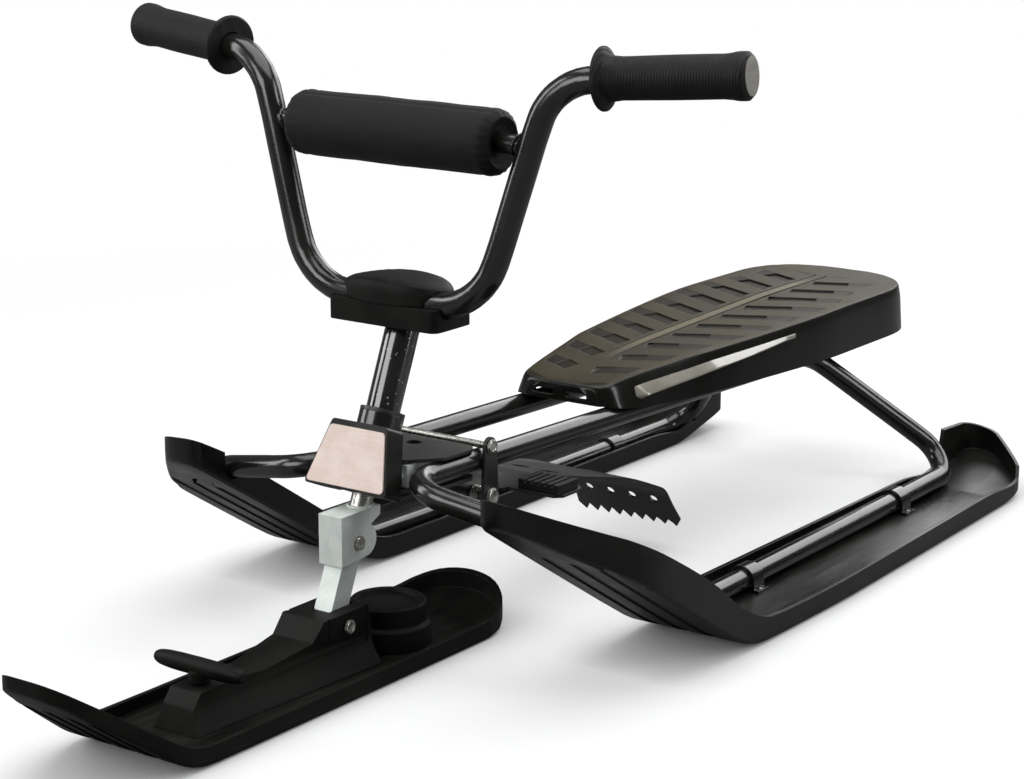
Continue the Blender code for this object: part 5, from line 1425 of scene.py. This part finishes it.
class Studio:
    """Floor, background, light and camera."""

    LIGHTS = (
        Softbox("overhead", (0.1, 0.1, 2.4), (0.0, 0.0, 0.1), (2.6, 2.6), 62.0),
        Softbox("front", (-0.7, -2.9, 1.5), (0.0, -0.2, 0.2), (1.9, 1.3), 42.0),
        Softbox("left_strip", (-1.9, -1.1, 1.2), (0.0, -0.1, 0.2), (0.7, 1.8), 22.0),
        Softbox("right_strip", (2.2, 0.6, 1.1), (0.0, 0.1, 0.2), (0.6, 1.8), 20.0),
        Softbox("behind", (0.1, 2.4, 1.4), (0.0, 0.1, 0.2), (2.8, 1.3), 42.0),
    )
    DIM = (0.10, 0.10, 0.10, 1.0)
    WHITE = (1.0, 1.0, 1.0, 1.0)
    PAPER = "#e9eaea"
    # How far the painted contact shadow reaches.
    CONTACT_REACH = 0.06
    DIP_REACH = 0.12
    EYE = (1.3057, -1.8199, 0.7444)
    RIGHT = Vector((0.81144, 0.58443, 0.0))
    UP = Vector((-0.14199, 0.19714, 0.97004))
    BACK = Vector((0.56692, -0.78713, 0.24295))

    def paper(self) -> bpy.types.Material:
        """Make the floor's matte paper: white to the eye, with the sled's shadows, and a painted contact
        shadow where its glow dims near the sled.

        Returns:
            The material.
        """
        paper = Surface("matte_studio_paper")
        seen = paper.add("ShaderNodeLightPath", output="Is Camera Ray")
        tint = paper.add("ShaderNodeMix", {0: seen, 6: self.DIM, 7: linear(self.PAPER)}, 2,
                         data_type="RGBA")
        paper.finish(Base_Color=tint, Roughness=0.6, Specular_IOR_Level=0.1)
        # The glow dims near the sled: a painted contact shadow.
        contact_shade_ao = paper.add("ShaderNodeAmbientOcclusion", {"Distance": self.CONTACT_REACH}, "Color",
                             samples=8)
        glow = paper.add("ShaderNodeEmission", {"Color": contact_shade_ao, "Strength": 1.0})
        found = {
            "seen": seen,
            "mirrored": paper.add("ShaderNodeLightPath", output="Is Glossy Ray"),
            "away": paper.add("ShaderNodeVectorMath", (paper.place,), "Value", operation="LENGTH"),
            "free": paper.add("ShaderNodeAmbientOcclusion", {"Distance": self.DIP_REACH}, "AO",
                              samples=8, inside=True),
        }
        paper.reckon(found, (
            ("white", "MAP", "away", 0.7, 1.7, 0.49, 1.0),
            ("to_eye", "MULTIPLY", "white", "seen"),
            ("in_metal", "MULTIPLY", "mirrored", 0.16),
            ("share", "MAXIMUM", "to_eye", "in_metal"),
            ("filled", "MAP", "free", 0.55, 0.97, 1.0, 0.0),
            ("dipped", "MULTIPLY", "filled", "seen")))
        lit = paper.add("ShaderNodeMixShader", (found["share"], paper.shader.outputs["BSDF"], glow))
        clear = paper.add("ShaderNodeBsdfTransparent")
        whole = paper.add("ShaderNodeMixShader", (found["dipped"], lit, clear))
        paper.fill(paper.tree.nodes["Material Output"], {"Surface": whole})
        return paper.material

    def floor(self) -> None:
        """Lay a plain pale floor that clears where a ski dips below it, as snow gives way."""
        mesh = bmesh.new()
        bmesh.ops.create_grid(mesh, x_segments=1, y_segments=1, size=12.0)
        data = bpy.data.meshes.new("floor")
        mesh.to_mesh(data)
        mesh.free()
        floor = bpy.data.objects.new("floor", data)
        floor.location.z = -0.0002
        bpy.context.scene.collection.objects.link(floor)
        data.materials.append(self.paper())

    def background(self) -> None:
        """Make the background white to the eye and through glass, and dim as a light."""
        world = bpy.data.worlds.new("studio")
        bpy.context.scene.world = world
        world.use_nodes = True
        graph = Graph(world.node_tree)
        path = graph.add("ShaderNodeLightPath").node.outputs
        seen = graph.add("ShaderNodeMath", (path["Is Camera Ray"], path["Is Transmission Ray"]),
                         operation="MAXIMUM")
        shade = graph.add("ShaderNodeMix", {0: seen, 6: self.DIM, 7: self.WHITE}, 2, data_type="RGBA")
        graph.fill(graph.tree.nodes["Background"], {"Color": shade})

    def camera(self) -> None:
        """Set up the photo's view."""
        data = bpy.data.cameras.new("camera")
        data.sensor_width = 36.0
        data.lens = 92.83
        data.clip_start = 0.05
        camera = bpy.data.objects.new("camera", data)
        rows = Matrix((self.RIGHT, self.UP, self.BACK)).transposed().to_4x4()
        camera.matrix_world = Matrix.Translation(self.EYE) @ rows
        bpy.context.scene.collection.objects.link(camera)
        bpy.context.scene.camera = camera

    def build(self) -> None:
        """Make it all."""
        self.camera()
        self.floor()
        self.background()
        for light in self.LIGHTS:
            light.build()
        bpy.context.scene.view_settings.view_transform = "Standard"


def main() -> None:
    """Build the studio, then dress and finish each sub-assembly."""
    logging.basicConfig(level=logging.INFO, format="%(name)s: %(message)s")
    Studio().build()
    shop = Workshop(FINISHES)
    for assembly in (Steering(), Chassis(), Seat(), Brake(), FrontSki()):
        assembly.dress(shop)
        assembly.build(shop)


if __name__ == "__main__":
    main()
